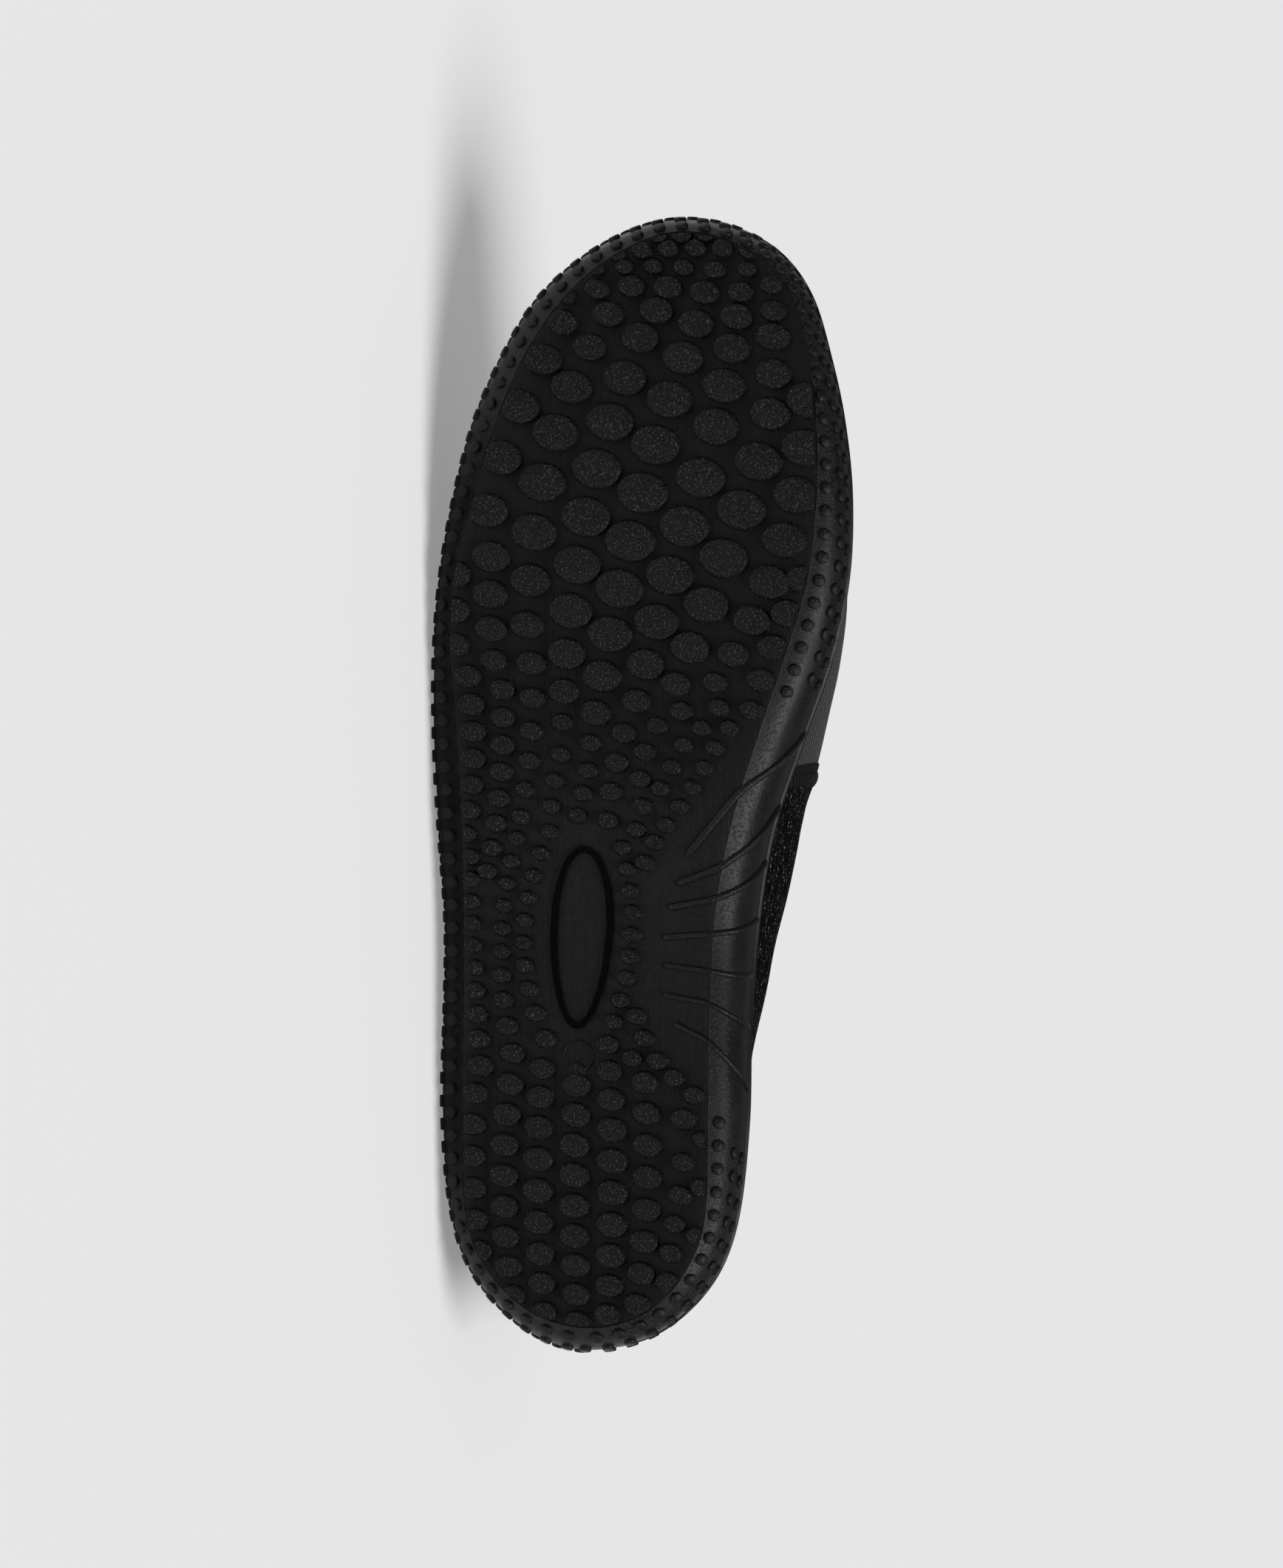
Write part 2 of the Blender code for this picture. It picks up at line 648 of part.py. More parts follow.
def make_upper(material):
    """Hollow textile upper, open at the collar and underneath, where the sole closes it."""
    upper = new_object("upper", upper_sheet(upper_rows(SIDE_WALL + CLEARANCE)), material)
    wall = upper.modifiers.new("wall", "SOLIDIFY")
    wall.thickness = UPPER_WALL
    wall.offset = -1
    wall.use_even_offset = True
    return upper


def sheet_normals(rows):
    """Outward direction at each point of the upper's rows."""
    normals = []
    for r, loop in enumerate(rows):
        line = []
        for k, point in enumerate(loop):
            around = loop[(k + 1) % len(loop)] - loop[k - 1]
            climb = rows[min(r + 1, len(rows) - 1)][k] - rows[max(r - 1, 0)][k]
            line.append(around.cross(climb).normalized())
        normals.append(line)
    return normals


def make_seam_tape(material):
    """Bound tape over the seam between the toe's cloth and the quarters, from rim to rim."""
    rows = upper_rows(SIDE_WALL + CLEARANCE)
    normals = sheet_normals(rows)
    half = TAPE_WIDTH / SHOE_LENGTH / 2
    edges = [min(range(COUNT), key=lambda k: abs(SHARES[k] - place))
             for place in (TAPE_PLACE - half, TAPE_PLACE + half)]
    stops = []
    for side in (-1, 1):
        columns = [k if side < 0 else inner_index(k) for k in edges]
        for r in range(1, len(rows)):
            stops.append((side, r, columns))
    stops = stops[:len(rows) - 1] + stops[:len(rows) - 2:-1][1:]
    form = bmesh.new()
    rings = []
    for side, r, columns in stops:
        ring = []
        for column, lift in ((0, CLEARANCE), (1, CLEARANCE), (1, CLEARANCE + TAPE_THICKNESS),
                             (0, CLEARANCE + TAPE_THICKNESS)):
            k = columns[column]
            point, outward = rows[r][k], normals[r][k]
            if r == 1:
                point = point.lerp(rows[2][k], TAPE_START)
            if r == len(rows) - 1:
                mirrored = normals[r][inner_index(k)]
                outward = (outward + mirrored).normalized()
            ring.append(form.verts.new(point + outward * lift))
        rings.append(ring)
    for ring, following in zip(rings, rings[1:]):
        join_rings(form, ring, following)
    form.faces.new(rings[0])
    form.faces.new(rings[-1])
    return new_object("seam_tape", form, material)


def make_binding(material):
    """Folded binding round the collar's edge, seated on the edge of the upper."""
    rows = upper_rows(SIDE_WALL + CLEARANCE)
    normals = sheet_normals(rows)
    open_stations = [k for k in range(COUNT) if SHARES[k] < THROAT]
    throat = len(open_stations)
    loop = open_stations + [throat] + [inner_index(k) for k in reversed(open_stations[1:])]
    top = len(rows) - 1
    points = [rows[top][k] for k in loop]
    form = bmesh.new()
    rings = []
    for place, k in enumerate(loop):
        travel = points[(place + 1) % len(points)] - points[place - 1]
        travel.normalize()
        climb = (rows[top][k] - rows[top - 1][k]).normalized()
        if k == throat:
            climb = Vector(THROAT_CLIMB)
        climb = (climb - travel * climb.dot(travel)).normalized()
        outward = travel.cross(climb).normalized()
        middle = rows[top][k] - outward * UPPER_WALL / 2 + climb * CLEARANCE
        ring = []
        for across, up in BINDING_SECTION:
            corner = outward * across * BINDING_WIDTH / 2 + climb * up * BINDING_HEIGHT
            ring.append(form.verts.new(middle + corner))
        rings.append(ring)
    for ring, following in zip(rings, rings[1:] + rings[:1]):
        join_rings(form, ring, following)
    return new_object("collar_binding", form, material)


def solid_moments(piece):
    """Volume of an evaluated solid and its volume times its centre."""
    mesh = piece.evaluated_get(bpy.context.evaluated_depsgraph_get()).to_mesh()
    mesh.calc_loop_triangles()
    volume, moment = 0.0, Vector((0, 0, 0))
    for triangle in mesh.loop_triangles:
        a, b, c = (mesh.vertices[k].co for k in triangle.vertices)
        part = a.dot(b.cross(c)) / 6
        volume += part
        moment += (a + b + c) * part / 4
    return volume, moment


def solid_points(piece):
    mesh = piece.evaluated_get(bpy.context.evaluated_depsgraph_get()).to_mesh()
    return [vertex.co.copy() for vertex in mesh.vertices]


def balance_point(densities):
    """Centre of mass of the pieces."""
    mass, moment = 0.0, Vector((0, 0, 0))
    for piece, density in densities.items():
        volume, part = solid_moments(piece)
        mass += volume * density
        moment += part * density
    return moment / mass


def ground_direction(points, centre):
    """Direction of the ground for the shoe on its outer side: the face of its hull under its balance."""
    form = bmesh.new()
    for point in points:
        form.verts.new(point)
    hull = bmesh.ops.convex_hull(form, input=form.verts)["geom"]
    faces = [item for item in hull if isinstance(item, bmesh.types.BMFace)]
    best, best_margin = Vector((0, -1, 0)), -math.inf
    for face in faces:
        corners = [vertex.co for vertex in face.verts]
        normal = (corners[1] - corners[0]).cross(corners[2] - corners[0]).normalized()
        if normal.dot(corners[0] - centre) < 0:
            normal = -normal
            corners.reverse()
        if normal.y > -OUTER_SIDE:
            continue
        margins = []
        for k, corner in enumerate(corners):
            edge = corners[(k + 1) % len(corners)] - corner
            margins.append(normal.cross(edge).normalized().dot(centre - corner))
        if min(margins) > best_margin:
            best, best_margin = normal, min(margins)
    form.free()
    return best


def lay_down(densities):
    """Turn the shoe onto its outer side, toe towards -X, with its box's foot centred on the origin."""
    bpy.context.view_layer.update()
    points = [point for piece in densities for point in solid_points(piece)]
    up = -ground_direction(points, balance_point(densities))
    left = Vector((1, 0, 0)) - up * up.x
    left.normalize()
    right = -left
    back = up.cross(right)
    turn = Matrix((right, back, up)).to_4x4()
    turned = np.array([turn @ point for point in points])
    low, high = turned.min(axis=0), turned.max(axis=0)
    stand = bpy.data.objects.new("laid_on_outer_side", None)
    bpy.context.scene.collection.objects.link(stand)
    shift = Matrix.Translation((-(low[0] + high[0]) / 2, -(low[1] + high[1]) / 2, -low[2]))
    stand.matrix_world = shift @ turn
    return stand


def make_material(name, colour, roughness):
    material = bpy.data.materials.new(name)
    material.use_nodes = True
    shader = material.node_tree.nodes["Principled BSDF"]
    shader.inputs["Base Color"].default_value = (*colour, 1.0)
    shader.inputs["Roughness"].default_value = roughness
    shader.inputs["Metallic"].default_value = 0.0
    return material


def build_shoe():
    for old in list(bpy.data.objects):
        bpy.data.objects.remove(old, do_unlink=True)
    rubber = make_material("black rubber", (0.012, 0.012, 0.013), 0.55)
    cloth = make_material("dark grey cloth", (0.045, 0.047, 0.05), 0.9)
    tape = make_material("black tape", (0.015, 0.015, 0.017), 0.8)
    foam = make_material("black foam", (0.02, 0.02, 0.022), 0.95)
    densities = {
        make_outsole(rubber): RUBBER_DENSITY,
        make_insole(foam): CLOTH_DENSITY,
        make_upper(cloth): CLOTH_DENSITY,
        make_seam_tape(tape): CLOTH_DENSITY,
        make_binding(tape): CLOTH_DENSITY,
    }
    stand = lay_down(densities)
    for piece in list(bpy.data.objects):
        if piece is not stand:
            piece.parent = stand
    bpy.context.view_layer.update()


build_shoe()
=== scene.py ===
"""Water shoe for the right foot, lying on its outer side with its black rubber sole towards the camera.

Each piece is drawn upright in the shoe's own frame, X from heel to toe, Y towards the inner side of the
foot and Z up from the plane that the studs stand on, and is then laid down where the CAD model lies.
"""
import math

import bpy
import numpy as np
from mathutils import Matrix, Vector
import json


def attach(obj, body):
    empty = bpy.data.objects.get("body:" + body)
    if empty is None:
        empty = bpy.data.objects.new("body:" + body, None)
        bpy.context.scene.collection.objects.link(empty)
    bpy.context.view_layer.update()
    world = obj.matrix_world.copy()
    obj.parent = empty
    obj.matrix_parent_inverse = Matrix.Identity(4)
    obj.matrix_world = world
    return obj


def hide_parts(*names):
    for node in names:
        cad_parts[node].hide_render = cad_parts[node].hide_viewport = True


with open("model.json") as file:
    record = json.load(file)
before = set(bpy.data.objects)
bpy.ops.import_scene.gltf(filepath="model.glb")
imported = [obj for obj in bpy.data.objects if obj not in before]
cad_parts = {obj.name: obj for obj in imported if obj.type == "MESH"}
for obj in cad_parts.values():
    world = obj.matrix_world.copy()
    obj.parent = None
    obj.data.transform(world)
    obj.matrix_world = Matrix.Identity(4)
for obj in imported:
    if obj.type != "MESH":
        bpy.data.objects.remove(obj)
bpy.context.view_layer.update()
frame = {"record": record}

# The shoe as it lies
# A shoe put down on its outer side rests on the sole's edge and on the side of its upper. The two flat
# tread faces that the record states give the place: one under the ball, one under the heel.
MM = 0.001
BALL_FACE = Vector((188.04, 1.25, 0)) * MM
HEEL_FACE = Vector((43.63, -9.98, 0)) * MM

mounts = {mount["name"]: mount for mount in frame["record"]["mounts"]}
shoe_up = -Vector(mounts["ball_tread"]["axis"]).normalized()
ball, heel = (Vector(mounts[name]["pos_m"]) for name in ("ball_tread", "heel_tread"))
forward = (ball - heel) - shoe_up * (ball - heel).dot(shoe_up)
forward.normalize()
span = (BALL_FACE - HEEL_FACE).normalized()
sideways = shoe_up.cross(forward)
toe_way = forward * span.x - sideways * span.y
inner_way = forward * span.y + sideways * span.x
laid = Matrix((toe_way, inner_way, shoe_up)).transposed().to_4x4()
laid.translation = ball - laid.to_3x3() @ BALL_FACE

# Camera
# It looks almost squarely at the tread, a little from the inner side of the foot, so that the inner wall
# of the sole shows and the outer one doesn't. The toe is at the top of the picture.
VIEW_TILT = math.radians(9.5)
VIEW_CENTRE = Vector((140, 7, 0)) * MM
VIEW_HEIGHT = 385.4 * MM
CAMERA_DISTANCE = 2.5
SENSOR = 24

to_camera = laid.to_3x3() @ Vector((0, math.sin(VIEW_TILT), -math.cos(VIEW_TILT)))
picture_up = laid.to_3x3() @ Vector((1, 0, 0))
picture_right = picture_up.cross(to_camera)
bpy.ops.object.select_all(action="DESELECT")
bpy.ops.object.camera_add()
camera = bpy.context.object
camera.name = "camera"
camera.matrix_world = Matrix((picture_right, picture_up, to_camera)).transposed().to_4x4()
camera.matrix_world.translation = laid @ VIEW_CENTRE + to_camera * CAMERA_DISTANCE
camera.data.sensor_fit = "VERTICAL"
camera.data.sensor_height = SENSOR
camera.data.lens = SENSOR * CAMERA_DISTANCE / VIEW_HEIGHT
camera.data.clip_end = 50
bpy.context.scene.camera = camera
bpy.context.scene.view_settings.view_transform = "Standard"

# Floor and light
# A pale studio floor without a seam, lit from overhead by a broad soft lamp, which lies to the right of
# the picture because the camera lies on its side, and by a fainter even glow from all round.


class Finish:
    """One socket of a material; sums written on it add the Math nodes that they need."""

    def __init__(self, tree, socket=None):
        self.tree = tree
        self.socket = socket

    def add(self, kind, values=None, output=0, stops=None, **settings):
        """A new node: its settings and ramp stops first, then the value or the link of each socket."""
        node = self.tree.nodes.new("ShaderNode" + kind)
        for name, value in settings.items():
            setattr(node, name, value)
        if stops:
            while len(node.color_ramp.elements) < len(stops):
                node.color_ramp.elements.new(0.5)
            for element, (place, shade) in zip(node.color_ramp.elements, stops):
                element.position = place
                element.color = (shade, shade, shade, 1)
        for name, value in (values or {}).items():
            if isinstance(value, Finish):
                self.tree.links.new(value.socket, node.inputs[name])
            else:
                node.inputs[name].default_value = value
        return Finish(self.tree, node.outputs[output])

    def maths(self, operation, *values):
        return self.add("Math", dict(enumerate(values)), operation=operation)

    def __add__(self, other):
        return self.maths("ADD", self, other)

    __radd__ = __add__

    def __sub__(self, other):
        return self.maths("SUBTRACT", self, other)

    def __rsub__(self, other):
        return self.maths("SUBTRACT", other, self)

    def __mul__(self, other):
        return self.maths("MULTIPLY", self, other)

    __rmul__ = __mul__

    def axis(self, number):
        """One number of a place: 0 along, 1 across or 2 up."""
        return self.add("SeparateXYZ", {0: self}, output=number)

    def step(self, low, high):
        """0 below low, 1 above high, and smooth between them."""
        limits = {0: self, 1: low, 2: high, 3: 0.0, 4: 1.0}
        return self.add("MapRange", limits, interpolation_type="SMOOTHSTEP")

    def wave(self):
        """Waves between 0 and 1, one to each 2 pi."""
        return self.maths("SINE", self) * 0.5 + 0.5

    def noise(self, place, scale, detail=2.0, roughness=0.5):
        """Cloudy value about 0.5, at a number of clouds to the metre."""
        sockets = {"Vector": place, "Scale": scale, "Detail": detail, "Roughness": roughness}
        return self.add("TexNoise", sockets)

    def grade(self, dark, light, share):
        """Colour between two shades, by a share."""
        sockets = {0: share, 6: (*dark, 1), 7: (*light, 1)}
        return self.add("Mix", sockets, output=2, data_type="RGBA")

    def bump(self, height, distance, strength):
        """Relief of a height from 0 to 1, as deep as the distance at full strength."""
        return self.add("Bump", {"Height": height, "Distance": distance, "Strength": strength})


def grey(shade, blue=0.0):
    return shade, shade, shade + blue


def new_material(name, **fixed):
    """Material with fixed values on its shader; gives the material, the shader and an empty finish."""
    material = bpy.data.materials.new(name)
    material.use_nodes = True
    shader = material.node_tree.nodes["Principled BSDF"]
    for socket, value in fixed.items():
        shader.inputs[socket.replace("_", " ")].default_value = value
    return material, shader, Finish(material.node_tree)


def dress(shader, **varying):
    """Link what varies over a surface to the shader's sockets."""
    for socket, value in varying.items():
        value.tree.links.new(value.socket, shader.inputs[socket.replace("_", " ")])


FLOOR_RADIUS = 9
FLOOR_SHADES = 0.80, 0.81
FLOOR_GLOW, WORLD_GLOW = 0.27, 0.12
LAMP_WAY = Vector((0.45, -0.28, 1.0))
LAMP_POWER = 1.9
LAMP_SPREAD = math.radians(40)

bpy.ops.object.select_all(action="DESELECT")
bpy.ops.mesh.primitive_circle_add(vertices=96, radius=FLOOR_RADIUS, fill_type="NGON")
floor = bpy.context.object
floor.name = "studio_floor"
floor_material, floor_shader, tint = new_material("studio_paper", Roughness=0.9, Specular_IOR_Level=0.1)
place = tint.add("TexCoord", output=3)
dress(floor_shader, Base_Color=tint.grade(*map(grey, FLOOR_SHADES), tint.noise(place, 3.0)))
floor_shader.inputs["Emission Color"].default_value = (1, 1, 1, 1)
floor_shader.inputs["Emission Strength"].default_value = FLOOR_GLOW
floor.data.materials.append(floor_material)

world = bpy.data.worlds.new("studio_glow")
world.use_nodes = True
glow = world.node_tree.nodes["Background"].inputs
glow["Color"].default_value = (1, 1, 1, 1)
glow["Strength"].default_value = WORLD_GLOW
bpy.context.scene.world = world

lamp = bpy.data.lights.new("overhead_softbox", "SUN")
lamp.energy = LAMP_POWER
lamp.angle = LAMP_SPREAD
lamp_object = bpy.data.objects.new("overhead_softbox", lamp)
lamp_object.rotation_euler = LAMP_WAY.to_track_quat("Z", "Y").to_euler()
bpy.context.scene.collection.objects.link(lamp_object)

# Sole
# One moulding of black rubber: a tread plate cut to the foot's outline, a side that wraps up round the
# upper and ends in a thin rolled lip, and a hollow inside that takes the upper and the insole.
SHOE_LENGTH = 280 * MM
BALL_WIDTH = 100 * MM
TOE_SPRING = 12 * MM
ARCH_RISE = 2 * MM
STUD_HEIGHT = 1.8 * MM
PLATE_THICKNESS = 4 * MM
SIDE_HEIGHT = 16 * MM
SIDE_WALL = 2.6 * MM
EDGE_BACK = 6 * MM
EDGE_FRONT = 3.5 * MM
SPRING_START = 0.70
ARCH_START, ARCH_END = 0.24, 0.50
SOLE_STATIONS = 121
MERGE_WITHIN = 0.01 * MM

# Outline of the sole: of the tread plate's edge and of the side's widest line, out from the centre line
OUTLINE = [
    # along, plate outer, plate inner, side outer, side inner
    (0.00, 0.064, -0.064, 0.075, -0.075),
    (0.02, 0.235, 0.100, 0.240, 0.110),
    (0.08, 0.358, 0.212, 0.383, 0.252),
    (0.20, 0.382, 0.233, 0.441, 0.310),
    (0.30, 0.382, 0.236, 0.437, 0.313),
    (0.38, 0.383, 0.248, 0.437, 0.328),
    (0.46, 0.386, 0.291, 0.451, 0.368),
    (0.54, 0.398, 0.358, 0.464, 0.445),
    (0.61, 0.414, 0.422, 0.463, 0.517),
    (0.68, 0.407, 0.479, 0.448, 0.560),
    (0.75, 0.362, 0.501, 0.415, 0.568),
    (0.82, 0.307, 0.500, 0.366, 0.546),
    (0.88, 0.243, 0.480, 0.297, 0.506),
    (0.93, 0.161, 0.443, 0.214, 0.458),
    (0.965, 0.070, 0.382, 0.111, 0.389),
    (0.99, -0.041, 0.278, -0.010, 0.282),
    (1.00, -0.153, 0.153, -0.140, 0.140),
]
SIDE_ROUND = [
    # up, out on the outer side, out on the inner side
    (0.00, 0.00, 0.00),
    (0.10, 0.50, 0.38),
    (0.26, 0.84, 0.68),
    (0.46, 1.00, 0.88),
    (0.72, 0.94, 0.97),
    (1.00, 0.74, 1.00),
]
RIM = [
    # along, outer, inner
    (0.00, 1.05, 1.05),
    (0.20, 1.00, 1.02),
    (0.38, 0.98, 1.28),
    (0.50, 0.98, 1.25),
    (0.66, 0.98, 1.00),
    (0.85, 1.00, 1.00),
    (1.00, 1.10, 1.10),
]


def turn_of(share):
    """Angle that spreads the stations towards heel and toe, where the outline turns fastest."""
    return np.arccos(1 - 2 * np.clip(share, 0, 1))


def read_curve(table, column, share, round_ends=False, places=None):
    """Smooth curve through a column of a table, read at shares in the table's first column."""
    spread = turn_of if places is None else np.asarray
    knots = spread(np.array([row[0] for row in table], float))
    values = np.array([row[column] for row in table], float)
    slopes = np.gradient(values, knots)
    if not round_ends:
        slopes[0] = slopes[-1] = 0
    spot = spread(np.clip(share, 0, 1))
    low = np.clip(np.searchsorted(knots, spot) - 1, 0, len(knots) - 2)
    width = knots[low + 1] - knots[low]
    t = (spot - knots[low]) / width
    start = (1 + 2 * t) * (1 - t) ** 2 * values[low] + t * (1 - t) ** 2 * width * slopes[low]
    return start + t * t * (3 - 2 * t) * values[low + 1] - t * t * (1 - t) * width * slopes[low + 1]


def tread_rise(x):
    """Height of the tread's plane over the ground: the lift under the arch and the toe's spring."""
    share = x / SHOE_LENGTH
    toe = np.clip((share - SPRING_START) / (1 - SPRING_START), 0, None)
    arch = np.clip((share - ARCH_START) / (ARCH_END - ARCH_START), 0, 1)
    return TOE_SPRING * toe ** 2 + ARCH_RISE * np.sin(np.pi * arch) ** 2


def station_shares(count, extra=()):
    """Stations from heel to toe, even in angle, with the extra ones added in their places."""
    shares = 0.5 - 0.5 * np.cos(np.linspace(0, np.pi, count))
    gaps = [np.abs(shares - place) > 0.3 / count for place in extra]
    kept = shares[np.all(gaps, axis=0)] if extra else shares
    return np.sort(np.concatenate([kept, extra]))


def round_the_foot(shares):
    """Shares and sides of a loop: the outer side from heel to toe, then the inner side back again."""
    return np.concatenate([shares, shares[-2::-1]]), np.repeat([-1, 1], [len(shares), len(shares) - 1])


def side_point(share, side, up):
    """Points on the side of the sole, at a share of its height."""
    inner = side > 0
    plate = np.where(inner, read_curve(OUTLINE, 2, share, True), read_curve(OUTLINE, 1, share, True))
    widest = np.where(inner, read_curve(OUTLINE, 4, share, True), read_curve(OUTLINE, 3, share, True))
    rim = np.where(inner, read_curve(RIM, 2, share), read_curve(RIM, 1, share)) * SIDE_HEIGHT
    lean = 0.5 + 0.5 * side * np.minimum(1, 2 * np.sin(turn_of(share)))
    outs = [read_curve(SIDE_ROUND, column, up, True, places=True) for column in (1, 2)]
    out = outs[0] + (outs[1] - outs[0]) * lean
    plate_x = EDGE_BACK + (SHOE_LENGTH - EDGE_FRONT - EDGE_BACK) * share
    x = plate_x + (SHOE_LENGTH * share - plate_x) * out
    y = side * BALL_WIDTH * (plate + (widest - plate) * out)
    z = tread_rise(x) + STUD_HEIGHT + (rim - STUD_HEIGHT) * up
    return np.stack([x, y, z], -1)


def inset(loop, distance):
    """A closed loop moved inwards by a distance, in plan; its first and last points are the same."""
    ring = loop[:-1]
    ways = np.roll(ring, -1, 0)[:, :2] - ring[:, :2]
    ways /= np.linalg.norm(ways, axis=1)[:, None]
    along = ways + np.roll(ways, 1, 0)
    along /= np.linalg.norm(along, axis=1)[:, None]
    reach = distance / np.clip((along * ways).sum(1), 0.5, None)
    moved = ring.copy()
    moved[:, 0] -= along[:, 1] * reach
    moved[:, 1] += along[:, 0] * reach
    return np.concatenate([moved, moved[:1]])


def lengths_along(points, axis):
    """Distance travelled over a grid of points along one of its directions."""
    steps = np.linalg.norm(np.diff(points, axis=axis), axis=-1)
    start = np.zeros_like(np.take(steps, [0], axis=axis))
    return np.concatenate([start, np.cumsum(steps, axis=axis)], axis=axis)


def read_line(line, travel, spots):
    """Points of a line at spots along it; its travel is the distance or share at each of its points."""
    return np.stack([np.interp(spots, travel, line[:, number]) for number in range(3)], -1)


def tidy_mesh(merge=True):
    """Merge the doubles of the active mesh, if wanted, and turn its faces outwards."""
    bpy.ops.object.mode_set(mode="EDIT")
    bpy.ops.mesh.select_all(action="SELECT")
    if merge:
        bpy.ops.mesh.remove_doubles(threshold=MERGE_WITHIN)
        bpy.ops.mesh.delete_loose()
        bpy.ops.mesh.select_all(action="SELECT")
    bpy.ops.mesh.normals_make_consistent(inside=False)
    bpy.ops.object.mode_set(mode="OBJECT")


def pick(*pieces):
    """Select these pieces alone and make the first of them active."""
    bpy.ops.object.select_all(action="DESELECT")
    for piece in pieces:
        piece.select_set(True)
    bpy.context.view_layer.objects.active = pieces[0]


def draw_sheet(name, points, measures):
    """A grid primitive drawn to rows of points, with a UV map in metres and its doubles merged."""
    rows, columns = points.shape[:2]
    bpy.ops.object.select_all(action="DESELECT")
    bpy.ops.mesh.primitive_grid_add(x_subdivisions=columns - 1, y_subdivisions=rows - 1)
    sheet = bpy.context.object
    sheet.name = name
    mesh = sheet.data
    mesh.name = name
    mesh.vertices.foreach_set("co", points.reshape(-1))
    corners = np.empty(len(mesh.loops), int)
    mesh.loops.foreach_get("vertex_index", corners)
    mesh.uv_layers.active.data.foreach_set("uv", measures.reshape(-1, 2)[corners].reshape(-1))
    tidy_mesh()
    return sheet


def apply_step(piece, kind, **settings):
    """Add a modifier to a piece, set it up and apply it."""
    step = piece.modifiers.new(kind.lower(), kind)
    for name, value in settings.items():
        setattr(step, name, value)
    pick(piece)
    bpy.ops.object.modifier_apply(modifier=step.name)


def lay_piece(piece, materials, stands_for=(), sharp=40):
    """Lay a finished piece down with the shoe, give it its materials, and fix it to the shoe's body."""
    pick(piece)
    piece.matrix_world = laid
    bpy.ops.object.transform_apply(location=True, rotation=True, scale=True)
    bpy.ops.object.shade_smooth_by_angle(angle=math.radians(sharp))
    if not piece.data.materials:
        for material in materials:
            piece.data.materials.append(material)
    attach(piece, "root")
    if stands_for:
        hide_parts(*stands_for)


def shoe_place(finish):
    """Place on the upright shoe, in metres, whatever way the shoe lies."""
    here = finish.add("TexCoord", output=3)
    turned = {"Vector": here, "Location": laid.translation, "Rotation": laid.to_euler()}
    return finish.add("Mapping", turned, vector_type="TEXTURE")


def stretched(finish, place, along, across, up):
    """The place with its three directions scaled, so that a pattern is drawn out along the shoe."""
    return finish.add("Mapping", {"Vector": place, "Scale": (along, across, up)})


sole_shares, sole_sides = round_the_foot(station_shares(SOLE_STATIONS))
edge = side_point(sole_shares, sole_sides, 0.0)
centre_y = np.interp(sole_shares, sole_shares[:SOLE_STATIONS],
                     (edge[:SOLE_STATIONS, 1] + edge[::-1][:SOLE_STATIONS, 1]) / 2)
centre_line = np.stack([edge[:, 0], centre_y, edge[:, 2]], -1)


def across_plate(loop, share, lift=0.0):
    """A loop drawn in towards the centre line by a share, at a height over the tread's plane."""
    ring = centre_line + (loop - centre_line) * share
    ring[:, 0] = loop[:, 0]
    ring[:, 2] = tread_rise(ring[:, 0]) + lift
    return ring


PLATE_ROWS = (0.0, 0.2, 0.4, 0.6, 0.8, 0.93)
EDGE_CREASE = 0.40 * MM
CREASE_DEPTH = 0.12 * MM
SIDE_ROWS = (0.0, 0.02, 0.05, 0.10, 0.16, 0.22, 0.29, 0.36, 0.43, 0.50, 0.57, 0.64, 0.71, 0.78, 0.84)
LIP = [
    # share of the side's height, how far the lip stands proud there in millimetres
    (0.885, 0.00),
    (0.905, -0.22),
    (0.925, -0.15),
    (0.945, 0.30),
    (0.965, 0.52),
    (0.985, 0.50),
    (1.000, 0.25),
]
RIM_TOP = ((0.5, 0.30), (1.3, 0.42), (2.1, 0.25), (2.6, -0.40))

sole_rows = [across_plate(edge, share, STUD_HEIGHT) for share in PLATE_ROWS]
sole_rows.append(across_plate(inset(edge, EDGE_CREASE), 1, STUD_HEIGHT))
sole_rows.append(across_plate(inset(edge, EDGE_CREASE / 2), 1, STUD_HEIGHT + CREASE_DEPTH))
plate_row_count = len(sole_rows)
sole_rows += [side_point(sole_shares, sole_sides, up) for up in SIDE_ROWS]
sole_rows += [inset(side_point(sole_shares, sole_sides, up), -proud * MM) for up, proud in LIP]
rim = side_point(sole_shares, sole_sides, 1.0)
for distance, rise in RIM_TOP:
    row = inset(rim, distance * MM)
    row[:, 2] += rise * MM
    sole_rows.append(row)
FLOOR_UP = 0.26
cup_edge = inset(side_point(sole_shares, sole_sides, FLOOR_UP), SIDE_WALL)
CUP_FLOOR = STUD_HEIGHT + PLATE_THICKNESS
cup_foot = across_plate(cup_edge, 1, CUP_FLOOR)
wall_top = sole_rows[-1]
sole_rows += [wall_top + (cup_foot - wall_top) * share for share in (0.4, 0.8)]
sole_rows += [across_plate(cup_edge, share, CUP_FLOOR) for share in (1, 0.5, 0)]
sole_points = np.array(sole_rows)
around = lengths_along(side_point(sole_shares, sole_sides, 0.3), 0)
outwards = lengths_along(sole_points, 0)
outwards -= outwards[plate_row_count]
sole_measures = np.stack([np.broadcast_to(around, outwards.shape), outwards], -1)
sole = draw_sheet("sole_body", sole_points, sole_measures)

